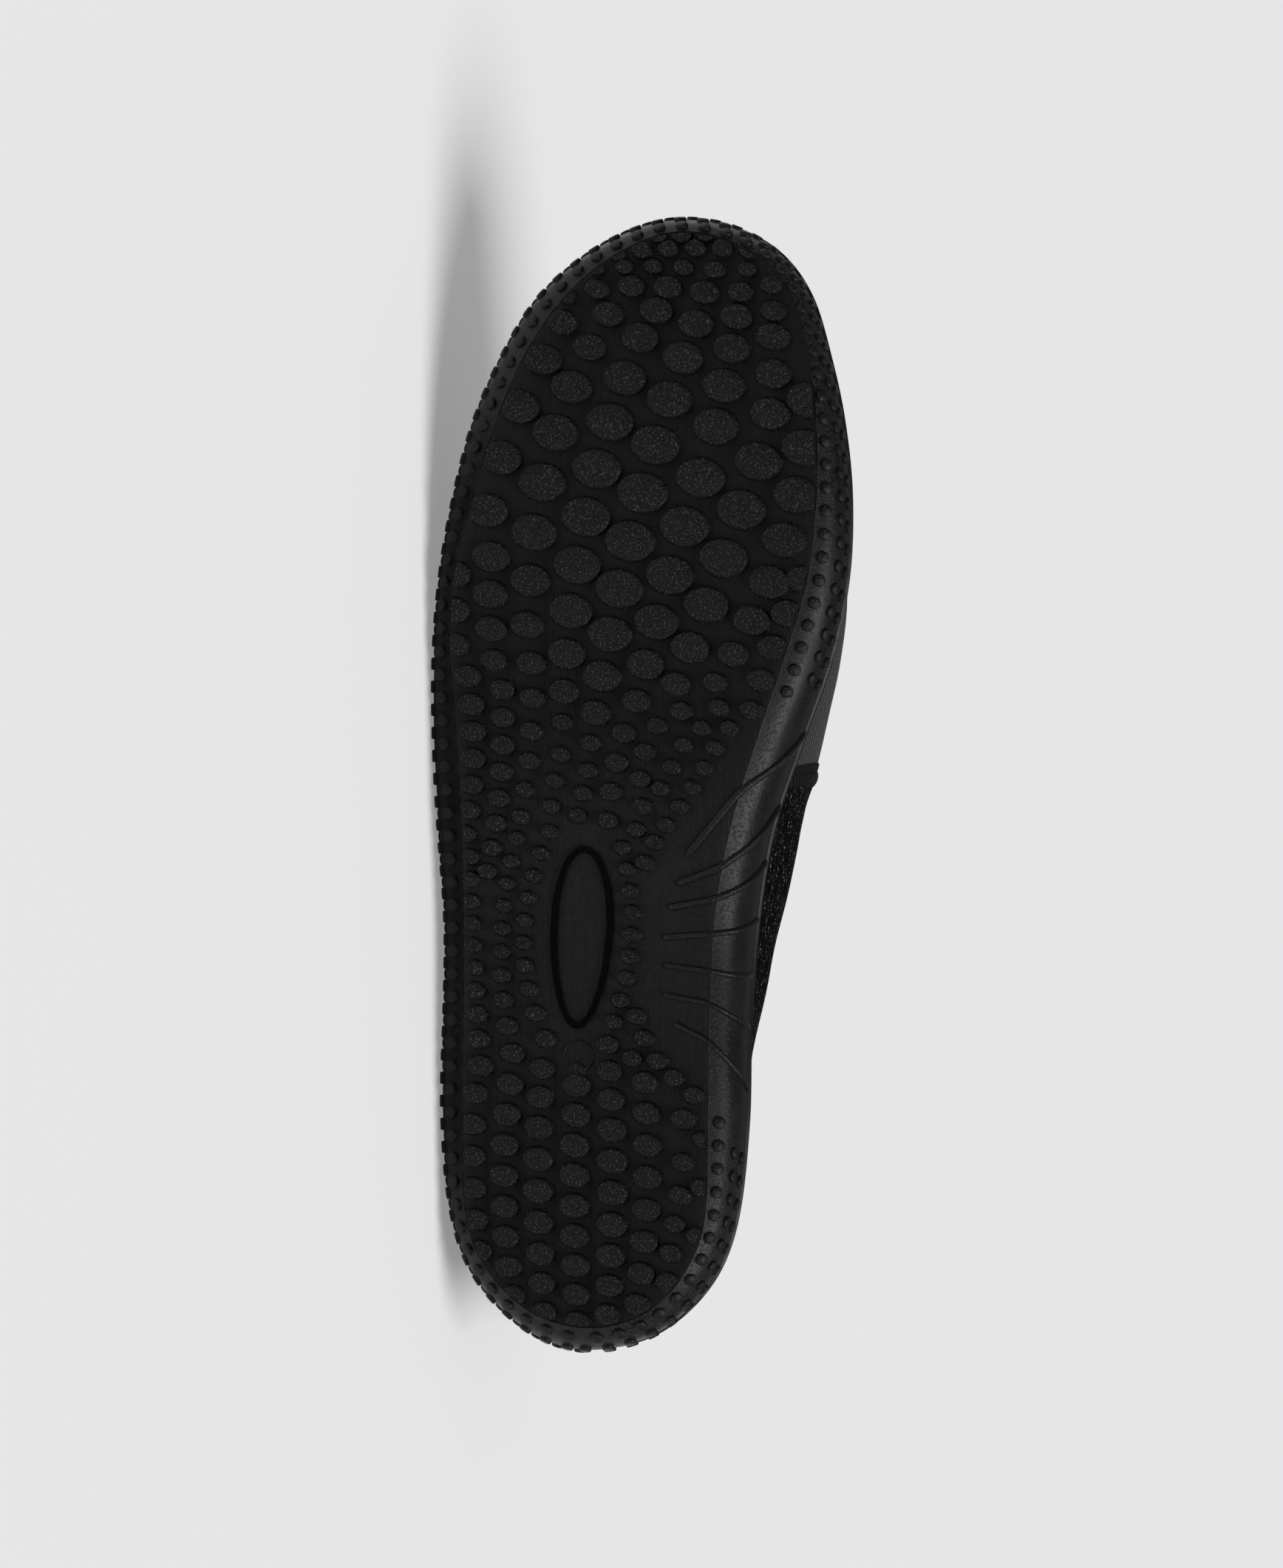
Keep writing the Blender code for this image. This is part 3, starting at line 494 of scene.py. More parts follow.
PANEL_LENGTH, PANEL_WIDTH = 45 * MM, 15.4 * MM
PANEL_CENTRE = Vector((0.365 * SHOE_LENGTH, -0.086 * BALL_WIDTH))
PANEL_TURN = math.radians(2.3)
PANEL_TAPER = 0.12
PANEL_POINTS = 73
GROOVE_WIDTH, GROOVE_DEPTH = 1.6 * MM, 1.4 * MM
GROOVE_SECTION = [
    # share of the groove's width outwards, share of its depth
    (-0.50, -0.60),
    (0.50, -0.60),
    (0.50, 0.00),
    (0.36, 0.70),
    (0.14, 1.00),
    (-0.14, 1.00),
    (-0.36, 0.70),
    (-0.50, 0.00),
    (-0.50, -0.60),
]


def panel_loop(outwards, height):
    """Oval round the panel in the waist, a little narrower at its heel end and turned a little."""
    turn = np.linspace(0, 2 * np.pi, PANEL_POINTS)
    x = PANEL_CENTRE.x + (PANEL_LENGTH / 2 + outwards) * np.cos(turn)
    swell = 1 + PANEL_TAPER * np.cos(turn)
    y = PANEL_CENTRE.y + (PANEL_WIDTH / 2 + outwards) * swell * np.sin(turn)
    y += (x - PANEL_CENTRE.x) * math.tan(PANEL_TURN)
    return np.stack([x, y, tread_rise(x) + STUD_HEIGHT + height], -1)


groove_points = np.array([panel_loop((out - 0.5) * GROOVE_WIDTH, depth * GROOVE_DEPTH)
                          for out, depth in GROOVE_SECTION])
groove = draw_sheet("panel_groove", groove_points, np.zeros(groove_points.shape[:2] + (2,)))


def painted_outer_shade(place):
    """Painted shade: 1 on the outer side of the sole between heel and toe, which gets less light, else
    0; there it is painted darker and made duller.
    """
    along, across = place.axis(0), place.axis(1)
    lengthwise = along.step(15 * MM, 60 * MM) * (1 - along.step(205 * MM, 250 * MM))
    return (1 - across.step(-34 * MM, -22 * MM)) * lengthwise


def rubber(name, dark, light, roughness, gloss, speckle, painted_shade_strength=0.0):
    """Black moulded rubber with a coarse grain and painted glints, clouded here and there with dust, and
    with painted shade on the outer side if asked.
    """
    material, shader, finish = new_material(name, Specular_IOR_Level=gloss, IOR=1.5)
    place = shoe_place(finish)
    grain = finish.noise(place, 2300, 1.0).step(0.40, 0.62)
    # Painted glints: bright specks painted into the colour, painted highlights on the grain.
    painted_glint = finish.noise(place, 2000, 0.0).step(0.64, 0.74)
    dust = finish.noise(place, 60, 3.0, 0.6)
    # Painted shade: on the outer side the rubber is painted darker and made duller, as much as the last
    # argument asks.
    painted_dim = painted_outer_shade(place) * painted_shade_strength
    shade = (grain * 0.21 * speckle + painted_glint * 1.0 * speckle + dust * 0.12) * (1 - painted_dim)
    dress(shader, Base_Color=finish.grade(dark, light, shade),
          Roughness=roughness - painted_glint * 0.15 + painted_dim * 0.4,
          Normal=finish.bump(grain * speckle + painted_glint * 0.6 * speckle, 0.20 * MM, 0.6))
    return material


def sole_rubber():
    """The body's rubber: matt and brushed lengthwise on the plate, smoother and shinier on the side,
    with painted shade and painted glints.
    """
    material, shader, finish = new_material("sole_body_rubber", Specular_IOR_Level=0.26, IOR=1.5)
    place = shoe_place(finish)
    out = finish.add("UVMap").axis(1)
    on_side = out.step(-0.3 * MM, 0.3 * MM)
    near_plate = 1 - out.step(2.5 * MM, 8.0 * MM)
    inside = out.step(22 * MM, 26 * MM)
    along = place.axis(0)
    waist = along.step(60 * MM, 85 * MM) * (1 - along.step(125 * MM, 160 * MM))
    outer_painted_shade = painted_outer_shade(place)
    grain = finish.noise(place, 1400, 2.0, 0.6)
    lines = finish.noise(stretched(finish, place, 70, 1500, 450), 1.0, 3.0, 0.62).step(0.34, 0.68)
    scratches = finish.noise(stretched(finish, place, 160, 2000, 800), 1.0, 2.0, 0.7).step(0.62, 0.74)
    dust = finish.noise(place, 70, 3.0, 0.6).step(0.42, 0.70)
    painted_glint = grain.step(0.52, 0.66)
    plate_shade = lines * 0.17 + grain.step(0.42, 0.62) * 0.24 + scratches * 0.35 + dust * 0.08
    # Outside the waist, among the studs of ball and heel, the plate is painted darker: painted shade
    # between the studs. In the waist it is a little lighter.
    plate_shade = plate_shade * (waist * 0.55 + 0.45) + waist * 0.10
    # The inner side is made lighter towards the heel.
    heel_lightening = (1 - along.step(35 * MM, 75 * MM)) * (1 - outer_painted_shade)
    # Near the plate's edge the inner side carries painted glints, a painted highlight in its colour.
    side_shade = 0.22 + dust * 0.15 + grain.step(0.42, 0.62) * 0.25 + painted_glint * near_plate * 1.1
    side_shade += heel_lightening * (0.20 + grain.step(0.42, 0.62) * 0.45)
    # Painted shade on the outer side between heel and toe: darker colour and more roughness.
    side_shade = side_shade * (1 - outer_painted_shade * 0.8)
    shade = plate_shade + (side_shade - plate_shade) * on_side
    rough = 0.66 + on_side * (outer_painted_shade * 0.49 - 0.24) + inside * 0.2
    rough += (dust - 0.5) * 0.10 + scratches * 0.08
    height = (lines * 0.6 + grain * 0.8) * (1 - on_side) + (grain * 0.3 + painted_glint * near_plate) * on_side
    dress(shader, Base_Color=finish.grade(grey(0.0004), grey(0.0210, 0.0005), shade), Roughness=rough,
          Normal=finish.bump(height, 0.14 * MM, 0.6))
    return material


sole.data.materials.append(sole_rubber())
# The groove takes a darker rubber than the body: painted shade in the groove.
groove.data.materials.append(rubber("groove_painted_shade_rubber", grey(0.0012), grey(0.008), 0.8, 0.05, 0.3))
apply_step(sole, "BOOLEAN", operation="DIFFERENCE", object=groove, material_mode="TRANSFER")
bpy.data.objects.remove(groove)
lay_piece(sole, [], ["outsole"], 38)

# Tread studs
# Flat oval studs moulded on the plate, largest under the ball and smallest in the waist, in gently
# curved runs, and cut off flush where they meet the plate's edge. Their tops have a speckled grain with
# painted glints.
STUD_WIDTH = 12.5 * MM
STUD_RATIO = 1.27
STUD_GAP = 0.25
STUD_TURN = math.radians(-10)
STUD_SIDES = 20
CUT_BEYOND = EDGE_CREASE + 0.1 * MM
CUT_STEPS = 24
STUD_SECTION = [
    # out from the top face's outline and height over it, in millimetres, from the root to the face
    (0.42, 2.30),
    (0.42, 1.88),
    (0.14, 1.50),
    (0.05, 0.50),
    (-0.08, 0.22),
    (-0.26, 0.05),
    (-0.46, 0.00),
]
STUD_RUNS = [
    # first along, across, last along, across, bow, count, first, middle, last width
    (0.984, 0.090, 0.985, 0.210, 0.000, 3, 0.38, 0.40, 0.38),
    (0.968, -0.010, 0.970, 0.320, -0.009, 6, 0.36, 0.42, 0.40),
    (0.955, -0.060, 0.953, 0.237, -0.006, 5, 0.33, 0.37, 0.43),
    (0.953, 0.317, 0.939, 0.378, 0.000, 2, 0.37, 0.40, 0.42),
    (0.931, -0.135, 0.933, 0.214, -0.019, 5, 0.42, 0.53, 0.58),
    (0.933, 0.303, 0.916, 0.385, 0.000, 2, 0.50, 0.50, 0.50),
    (0.907, -0.138, 0.917, 0.094, -0.006, 3, 0.60, 0.62, 0.66),
    (0.905, 0.194, 0.911, 0.295, 0.000, 2, 0.70, 0.67, 0.64),
    (0.875, 0.164, 0.536, -0.059, 0.018, 10, 0.80, 0.98, 0.42),
    (0.512, -0.065, 0.472, -0.092, 0.000, 3, 0.38, 0.38, 0.36),
    (0.883, 0.285, 0.814, 0.249, 0.000, 3, 0.74, 0.84, 0.90),
    (0.769, 0.214, 0.573, 0.055, 0.006, 6, 0.98, 0.92, 0.57),
    (0.545, 0.024, 0.468, -0.017, 0.006, 4, 0.48, 0.46, 0.42),
    (0.893, 0.387, 0.825, 0.384, -0.005, 3, 0.66, 0.72, 0.78),
    (0.783, 0.357, 0.588, 0.153, -0.004, 6, 0.93, 0.93, 0.58),
    (0.551, 0.107, 0.480, 0.070, 0.020, 4, 0.42, 0.43, 0.40),
    (0.837, 0.480, 0.589, 0.250, -0.054, 8, 0.88, 0.84, 0.48),
    (0.564, 0.166, 0.549, 0.217, 0.000, 2, 0.45, 0.41, 0.37),
    (0.534, 0.172, 0.496, 0.115, 0.000, 3, 0.38, 0.37, 0.36),
    (0.679, 0.469, 0.565, 0.342, 0.007, 5, 0.66, 0.62, 0.46),
    (0.567, 0.261, 0.549, 0.286, 0.000, 2, 0.42, 0.40, 0.37),
    (0.532, 0.250, 0.464, 0.128, -0.006, 5, 0.37, 0.36, 0.36),
    (0.893, 0.056, 0.554, -0.129, 0.040, 10, 0.74, 0.96, 0.42),
    (0.526, -0.133, 0.458, -0.162, 0.006, 4, 0.39, 0.37, 0.35),
    (0.885, -0.070, 0.679, -0.210, 0.030, 6, 0.66, 0.93, 0.80),
    (0.640, -0.217, 0.471, -0.234, -0.020, 7, 0.66, 0.46, 0.37),
    (0.874, -0.185, 0.741, -0.317, 0.015, 4, 0.76, 0.82, 0.82),
    (0.700, -0.308, 0.609, -0.302, 0.005, 4, 0.75, 0.66, 0.53),
    (0.583, -0.280, 0.423, -0.320, -0.016, 8, 0.50, 0.46, 0.38),
    (0.685, -0.400, 0.623, -0.398, 0.000, 3, 0.66, 0.60, 0.57),
    (0.595, -0.366, 0.456, -0.372, -0.017, 7, 0.54, 0.49, 0.41),
    (0.436, -0.363, 0.252, -0.333, 0.006, 10, 0.39, 0.37, 0.51),
    (0.228, -0.348, 0.089, -0.337, 0.012, 6, 0.50, 0.52, 0.50),
    (0.452, -0.245, 0.263, -0.254, 0.036, 10, 0.35, 0.35, 0.48),
    (0.236, -0.260, 0.050, -0.254, 0.019, 8, 0.54, 0.56, 0.50),
    (0.439, -0.184, 0.276, -0.173, 0.052, 9, 0.34, 0.34, 0.44),
    (0.250, -0.180, 0.036, -0.175, 0.013, 9, 0.50, 0.60, 0.48),
    (0.235, -0.094, 0.027, -0.092, 0.007, 9, 0.57, 0.60, 0.51),
    (0.271, -0.017, 0.034, -0.018, -0.013, 10, 0.44, 0.62, 0.50),
    (0.238, 0.075, 0.043, 0.057, -0.015, 8, 0.52, 0.57, 0.52),
    (0.257, 0.107, 0.242, 0.149, 0.000, 2, 0.42, 0.42, 0.42),
    (0.206, 0.172, 0.168, 0.170, 0.000, 2, 0.50, 0.47, 0.45),
    (0.139, 0.163, 0.062, 0.134, 0.004, 4, 0.45, 0.43, 0.49),
    (0.227, 0.198, 0.188, 0.222, 0.000, 2, 0.42, 0.41, 0.40),
    (0.146, 0.216, 0.103, 0.207, 0.000, 2, 0.42, 0.43, 0.44),
    (0.444, 0.018, 0.291, -0.004, -0.032, 9, 0.34, 0.36, 0.37),
    (0.460, 0.053, 0.431, 0.074, -0.036, 3, 0.37, 0.37, 0.37),
    (0.296, 0.053, 0.259, 0.044, -0.025, 3, 0.39, 0.40, 0.40),
]


def through_three(first, middle, last, step):
    """Parabola through a first, a middle and a last value, read at a share of the way."""
    ends = first * (1 - step) * (1 - 2 * step) + last * step * (2 * step - 1)
    return ends + middle * 4 * step * (1 - step)


def stud_places():
    """Centre and width of each stud, its pitch along a run following the studs' widths."""
    places = []
    for along, across, last_along, last_across, bow, count, *ends in STUD_RUNS:
        start = np.array((along * SHOE_LENGTH, across * BALL_WIDTH))
        run = np.array((last_along * SHOE_LENGTH, last_across * BALL_WIDTH)) - start
        widths = STUD_WIDTH * through_three(*ends, np.linspace(0, 1, count))
        pitches = (widths[1:] + widths[:-1]) / 2 + STUD_GAP * STUD_WIDTH
        travel = np.concatenate([[0], np.cumsum(pitches)]) / pitches.sum()
        sideways = np.array((-run[1], run[0])) / np.linalg.norm(run) * bow * BALL_WIDTH
        for share, width in zip(travel, widths):
            places.append((start + run * share + sideways * 4 * share * (1 - share), width))
    return places


def prism(name, sides, levels):
    """A closed prism with a ring of points at each whole height, raised from a disc by extrusion."""
    bpy.ops.object.select_all(action="DESELECT")
    bpy.ops.mesh.primitive_circle_add(vertices=sides, radius=1, fill_type="NGON")
    shape = bpy.context.object
    shape.name = name
    bpy.ops.object.mode_set(mode="EDIT")
    bpy.ops.mesh.select_mode(type="FACE")
    bpy.ops.mesh.select_all(action="SELECT")
    for _ in range(levels - 1):
        bpy.ops.mesh.extrude_region_move(TRANSFORM_OT_translate={"value": (0, 0, 1)})
    bpy.ops.mesh.select_all(action="SELECT")
    bpy.ops.mesh.normals_make_consistent(inside=False)
    bpy.ops.object.mode_set(mode="OBJECT")
    return shape


def mesh_points(piece):
    """The points of a piece's mesh as an array."""
    points = np.empty(len(piece.data.vertices) * 3)
    piece.data.vertices.foreach_get("co", points)
    return points.reshape(-1, 3)


def join_pieces(pieces, name, merge=True):
    """Several drawn pieces joined into one, which gets the name."""
    pick(*pieces)
    bpy.ops.object.join()
    pieces[0].name = name
    tidy_mesh(merge)
    return pieces[0]


def join_copies(master, placings, name):
    """Copies of a master, each with its own mesh drawn to its own points, joined into one piece."""
    copies = []
    for points in placings:
        copy = master.copy()
        copy.data = master.data.copy()
        copy.data.vertices.foreach_set("co", points.reshape(-1))
        bpy.context.scene.collection.objects.link(copy)
        copies.append(copy)
    bpy.data.objects.remove(master)
    return join_pieces(copies, name, merge=False)


cut_line = inset(edge, CUT_BEYOND)
outer_cut = cut_line[:SOLE_STATIONS]
inner_cut = cut_line[SOLE_STATIONS - 1:][::-1]


def on_plate(points):
    """Which points, in plan, lie inside the line where the studs are cut off."""
    x, y = points[..., 0], points[..., 1]
    low = np.interp(x, outer_cut[:, 0], outer_cut[:, 1])
    high = np.interp(x, inner_cut[:, 0], inner_cut[:, 1])
    return (y > low) & (y < high) & (x > outer_cut[0, 0]) & (x < outer_cut[-1, 0])


stud = prism("tread_studs", STUD_SIDES, len(STUD_SECTION))
stud_points = mesh_points(stud)
stud_levels = np.rint(stud_points[:, 2]).astype(int)
section = np.array(STUD_SECTION) * MM
stud_placings = []
for centre, width in stud_places():
    halves = width / 2 + section[stud_levels, 0]
    across = stud_points[:, 0] * halves
    along = stud_points[:, 1] * (halves - width / 2 * (1 - 1 / STUD_RATIO))
    plan = np.stack([
        centre[0] + across * math.sin(STUD_TURN) + along * math.cos(STUD_TURN),
        centre[1] + across * math.cos(STUD_TURN) - along * math.sin(STUD_TURN),
    ], -1)
    kept = on_plate(plan)
    if kept.sum() < len(STUD_SECTION) * 2:
        continue
    if not kept.all():
        middle = plan[kept].mean(0)
        low, high = np.zeros(len(plan)), np.ones(len(plan))
        for _ in range(CUT_STEPS):
            half = (low + high) / 2
            held = on_plate(middle + (plan - middle) * half[:, None])
            low, high = np.where(held, half, low), np.where(held, high, half)
        plan = np.where(kept[:, None], plan, middle + (plan - middle) * low[:, None])
    z = tread_rise(plan[:, 0]) + section[stud_levels, 1]
    stud_placings.append(np.concatenate([plan, z[:, None]], 1))
studs = join_copies(stud, stud_placings, "tread_studs")
stud_rubber = rubber("stud_rubber", grey(0.0008), grey(0.0550, 0.0005), 0.50, 0.16, 1.0)
lay_piece(studs, [stud_rubber], sharp=42)

# Side studs
# Small round studs in three staggered rows round the side, moulded with it. The inner arch has none.
SIDE_STUD_PITCH = 5.7 * MM
SIDE_STUD_SIDES = 12
SIDE_STUD_SECTION = [
    # radius and height over the side, in millimetres
    (1.60, -0.50),
    (1.56, 0.12),
    (1.50, 0.58),
    (1.30, 0.76),
]
SIDE_STUD_ROWS = [
    # share of the side's height, start along the row as a share of the pitch, arch from, arch to
    (0.09, 0.00, 0.205, 0.565),
    (0.36, 0.50, 0.190, 0.575),
    (0.64, 0.00, 0.175, 0.580),
]
ROW_ANCHOR = 0.596
FINE_STATIONS = 601
AHEAD, ABOVE = 0.5 * MM, 0.02

dot = prism("side_studs", SIDE_STUD_SIDES, len(SIDE_STUD_SECTION))
dot_points = mesh_points(dot)
dot_levels = np.rint(dot_points[:, 2]).astype(int)
dot_section = np.array(SIDE_STUD_SECTION) * MM
dot_placings = []
fine_shares, fine_sides = round_the_foot(station_shares(FINE_STATIONS))
for up, shift, arch_from, arch_to in SIDE_STUD_ROWS:
    row = side_point(fine_shares, fine_sides, up)
    higher = side_point(fine_shares, fine_sides, up + ABOVE)
    travel = lengths_along(row, 0)
    anchor = np.interp(ROW_ANCHOR, fine_shares[:FINE_STATIONS], travel[:FINE_STATIONS])
    anchor += shift * SIDE_STUD_PITCH
    first = anchor - math.floor(anchor / SIDE_STUD_PITCH) * SIDE_STUD_PITCH
    count = int(travel[-1] / SIDE_STUD_PITCH + 0.3)
    for k in range(count):
        spot = (first + k * SIDE_STUD_PITCH) % travel[-1]
        point = read_line(row, travel, spot)
        share, side = np.interp(spot, travel, fine_shares), np.interp(spot, travel, fine_sides)
        if side > 0 and arch_from < share < arch_to:
            continue
        ahead = read_line(row, travel, (spot + AHEAD) % travel[-1])
        above = read_line(higher, travel, spot)
        along = (ahead - point) / np.linalg.norm(ahead - point)
        outward = np.cross(above - point, along)
        outward /= np.linalg.norm(outward)
        if outward[0] * along[1] - outward[1] * along[0] < 0:
            outward = -outward
        beside = np.cross(outward, along)
        radius, height = dot_section[dot_levels, 0], dot_section[dot_levels, 1]
        dot_placings.append(point + outward * height[:, None]
                            + along * (dot_points[:, 0] * radius)[:, None]
                            + beside * (dot_points[:, 1] * radius)[:, None])
side_studs = join_copies(dot, dot_placings, "side_studs")
# The side studs on the outer side take painted shade: darker colour and more roughness.
side_rubber = rubber("side_stud_rubber", grey(0.005, 0.0002), grey(0.024, 0.0005), 0.42, 0.26, 0.5, 0.85)
lay_piece(side_studs, [side_rubber], sharp=50)

# Ribs over the inner arch
# Seven thin rounded ribs fan out from the plate over its edge and climb the bare side under the arch,
# where the sole has to flex. They belong to the same moulding as the sole.
RIB_RADIUS = 1.0 * MM
RIB_SINK = 0.10 * MM
RIB_STEPS = 44
RIB_BEND = 0.68
RIB_SMOOTHINGS = 6
ARCH_RIBS = [
    # start along, start across, edge along, rim along, how far it climbs, thickness
    (0.436, 0.175, 0.490, 0.551, 0.90, 1.00),
    (0.412, 0.151, 0.420, 0.486, 0.92, 1.00),
    (0.391, 0.127, 0.391, 0.436, 0.90, 0.95),
    (0.365, 0.112, 0.359, 0.383, 0.90, 0.88),
    (0.341, 0.116, 0.325, 0.333, 0.88, 0.80),
    (0.315, 0.116, 0.296, 0.284, 0.90, 0.78),
    (0.290, 0.144, 0.262, 0.226, 0.92, 0.82),
]


def draw_cord(name, path, radius, weights, sides=3):
    """A rounded bar along a path, its thickness weighted from point to point, as a mesh."""
    curve = bpy.data.curves.new(name, "CURVE")
    curve.dimensions = "3D"
    curve.bevel_depth = radius
    curve.bevel_resolution = sides
    curve.use_fill_caps = True
    line = curve.splines.new("POLY")
    line.points.add(len(path) - 1)
    for spot, point, weight in zip(line.points, path, weights):
        spot.co = (*point, 1)
        spot.radius = weight
    cord = bpy.data.objects.new(name, curve)
    bpy.context.scene.collection.objects.link(cord)
    pick(cord)
    bpy.ops.object.convert(target="MESH")
    return bpy.context.object


def on_loop(loop, share, side):
    """Points of a finely drawn loop round the foot, at shares of its outer or its inner half."""
    halves = loop[:FINE_STATIONS], loop[FINE_STATIONS - 1:][::-1]
    outer, inner = (read_line(half, fine_shares[:FINE_STATIONS], share) for half in halves)
    return np.where(np.asarray(side)[..., None] > 0, inner, outer)


def rib_path(start_along, start_across, edge_along, rim_along, climb):
    """Points of a rib: straight over the plate to its edge, then curving up the side."""
    start = np.array((start_along * SHOE_LENGTH, start_across * BALL_WIDTH, 0))
    corner = on_loop(fine_edge, edge_along, 1)
    flat = start + (corner - start) * np.linspace(0, 0.97, RIB_STEPS // 2)[:, None]
    flat[:, 2] = tread_rise(flat[:, 0]) + STUD_HEIGHT
    ups = np.linspace(0.03, climb, RIB_STEPS // 2)
    shares = edge_along + (rim_along - edge_along) * ups ** RIB_BEND
    rising = np.array([on_loop(side_point(fine_shares, fine_sides, up), share, 1)
                       for up, share in zip(ups, shares)])
    inwards = np.zeros((RIB_STEPS, 3))
    inwards[:, 2] = 1
    inwards[RIB_STEPS // 2:, 1] = -np.sqrt(ups)
    inwards /= np.linalg.norm(inwards, axis=1)[:, None]
    path = np.concatenate([flat, rising]) + inwards * RIB_SINK
    for _ in range(RIB_SMOOTHINGS):
        path[1:-1] = (path[2:] + path[:-2] + path[1:-1] * 2) / 4
    return path


fine_edge = side_point(fine_shares, fine_sides, 0.0)
rib_ends = np.minimum(np.linspace(0, 26, RIB_STEPS), np.linspace(16, 0, RIB_STEPS))
rib_ends = np.sqrt(np.clip(rib_ends, 0.05, 1))
ribs = [draw_cord("arch_rib", rib_path(*row[:5]), RIB_RADIUS, rib_ends * row[5]) for row in ARCH_RIBS]
arch_ribs = join_pieces(ribs, "arch_ribs")
rib_rubber = rubber("rib_rubber", grey(0.004, 0.0002), grey(0.018, 0.0005), 0.38, 0.30, 0.5)
lay_piece(arch_ribs, [rib_rubber], sharp=60)

# Marks from the mould
# Behind the oval panel the mould has left a thin raised arc, where its gate was, and the drop of rubber
# that was cut off there.
RING_CENTRE = Vector((73.0, -9.1)) * MM
RING_RADIUS = 3.7 * MM
RING_WIRE = 0.35 * MM
RING_FROM, RING_TO = math.radians(-70), math.radians(200)
DROP_CENTRE = Vector((69.6, -9.5)) * MM
DROP_SIZE = Vector((2.3, 2.6, 0.8)) * MM
DROP_TAPER = 0.35
RING_POINTS = 40

turns = np.linspace(RING_FROM, RING_TO, RING_POINTS)
ring_x = RING_CENTRE.x + RING_RADIUS * np.sin(turns)
ring_y = RING_CENTRE.y + RING_RADIUS * np.cos(turns)
ring_path = np.stack([ring_x, ring_y, tread_rise(ring_x) + STUD_HEIGHT], -1)
ring_ends = np.sqrt(np.clip(np.minimum(turns - RING_FROM, RING_TO - turns) * 4, 0.02, 1))
ring = draw_cord("gate_ring", ring_path, RING_WIRE, ring_ends)
bpy.ops.object.select_all(action="DESELECT")
bpy.ops.mesh.primitive_uv_sphere_add(segments=20, ring_count=12, radius=1)
drop = bpy.context.object
drop_points = mesh_points(drop)
drop_points[:, 1:2] *= 1 - DROP_TAPER * np.clip(drop_points[:, :1], 0, 1)
drop_points = drop_points * np.array(DROP_SIZE) + np.array((*DROP_CENTRE, 0))
drop_points[:, 2] += tread_rise(drop_points[:, 0]) + STUD_HEIGHT
drop.data.vertices.foreach_set("co", drop_points.reshape(-1))
gate_marks = join_pieces([ring, drop], "gate_marks")
lay_piece(gate_marks, [stud_rubber], sharp=60)

# Upper
# Black cloth upper in two parts: a close twill over the toes and an open mesh round the quarters and the
# heel, both on a thin lining. They are sewn together across the instep and glued into the sole's cup.
INSTEP_HEIGHT = 78 * MM
COLLAR_BACK, RIDGE_END = 0.025, 0.89
THROAT = 0.49
TAPE_PLACE = 0.500
TAPE_WIDTH = 5.5 * MM
CLEARANCE = 0.3 * MM
UPPER_WALL = 2 * MM
WALL_RISE = 0.50
COLLAR_DROP = 0.30
COLLAR_LEAN = 0.05
SHOULDER = 0.82
TOP_LINE = [
    # along, height, half outer, half inner, aside, level
    (0.00, 0.880, 0.00, 0.00, -0.065, 0.00),
    (0.02, 0.875, 0.125, 0.125, -0.065, 0.00),
    (0.08, 0.840, 0.225, 0.225, -0.065, 0.00),
    (0.18, 0.755, 0.270, 0.270, -0.065, 0.00),
    (0.28, 0.715, 0.275, 0.275, -0.055, 0.02),
    (0.37, 0.760, 0.245, 0.250, -0.040, 0.15),
    (0.43, 0.860, 0.185, 0.190, -0.025, 0.40),
    (0.47, 0.950, 0.110, 0.110, -0.010, 0.75),
    (0.49, 0.995, 0.00, 0.00, 0.000, 1.00),
    (0.58, 0.955, 0.00, 0.00, 0.030, 1.00),
    (0.68, 0.860, 0.00, 0.00, 0.065, 1.00),
    (0.78, 0.755, 0.00, 0.00, 0.100, 1.00),
    (0.89, 0.665, 0.00, 0.00, 0.130, 1.00),
    (0.96, 0.615, 0.00, 0.00, 0.145, 1.00),
    (1.00, 0.590, 0.00, 0.00, 0.150, 1.00),
]
FLARE = [
    # along, outer, inner
    (0.00, 0.02, 0.02),
    (0.12, 0.01, -0.02),
    (0.26, 0.03, 0.01),
    (0.34, 0.08, 0.10),
    (0.42, 0.11, 0.17),
    (0.50, 0.05, 0.165),
    (0.58, 0.09, 0.095),
    (0.68, 0.07, 0.01),
    (0.80, 0.03, -0.01),
    (1.00, 0.02, 0.02),
]
CREASES = [
    # along, side, lowest and highest share of the wall, lean along the shoe, depth in mm, width along
    (0.600, 1, 0.35, 1.05, 0.050, 1.3, 0.012),
    (0.645, 1, 0.30, 1.05, 0.035, 0.9, 0.010),
    (0.605, -1, 0.35, 1.05, 0.045, 1.1, 0.012),
    (0.655, -1, 0.30, 1.05, 0.040, 0.8, 0.010),
    (0.405, 1, 0.45, 0.95, -0.040, 0.5, 0.016),
    (0.400, -1, 0.20, 0.90, -0.060, 1.1, 0.014),
    (0.340, -1, 0.15, 0.80, -0.070, 0.9, 0.013),
    (0.130, 1, 0.10, 0.75, 0.060, 0.8, 0.012),
    (0.115, -1, 0.10, 0.75, 0.060, 0.8, 0.012),
]


def unit(ways):
    return ways / np.maximum(np.linalg.norm(ways, axis=-1, keepdims=True), 1e-9)


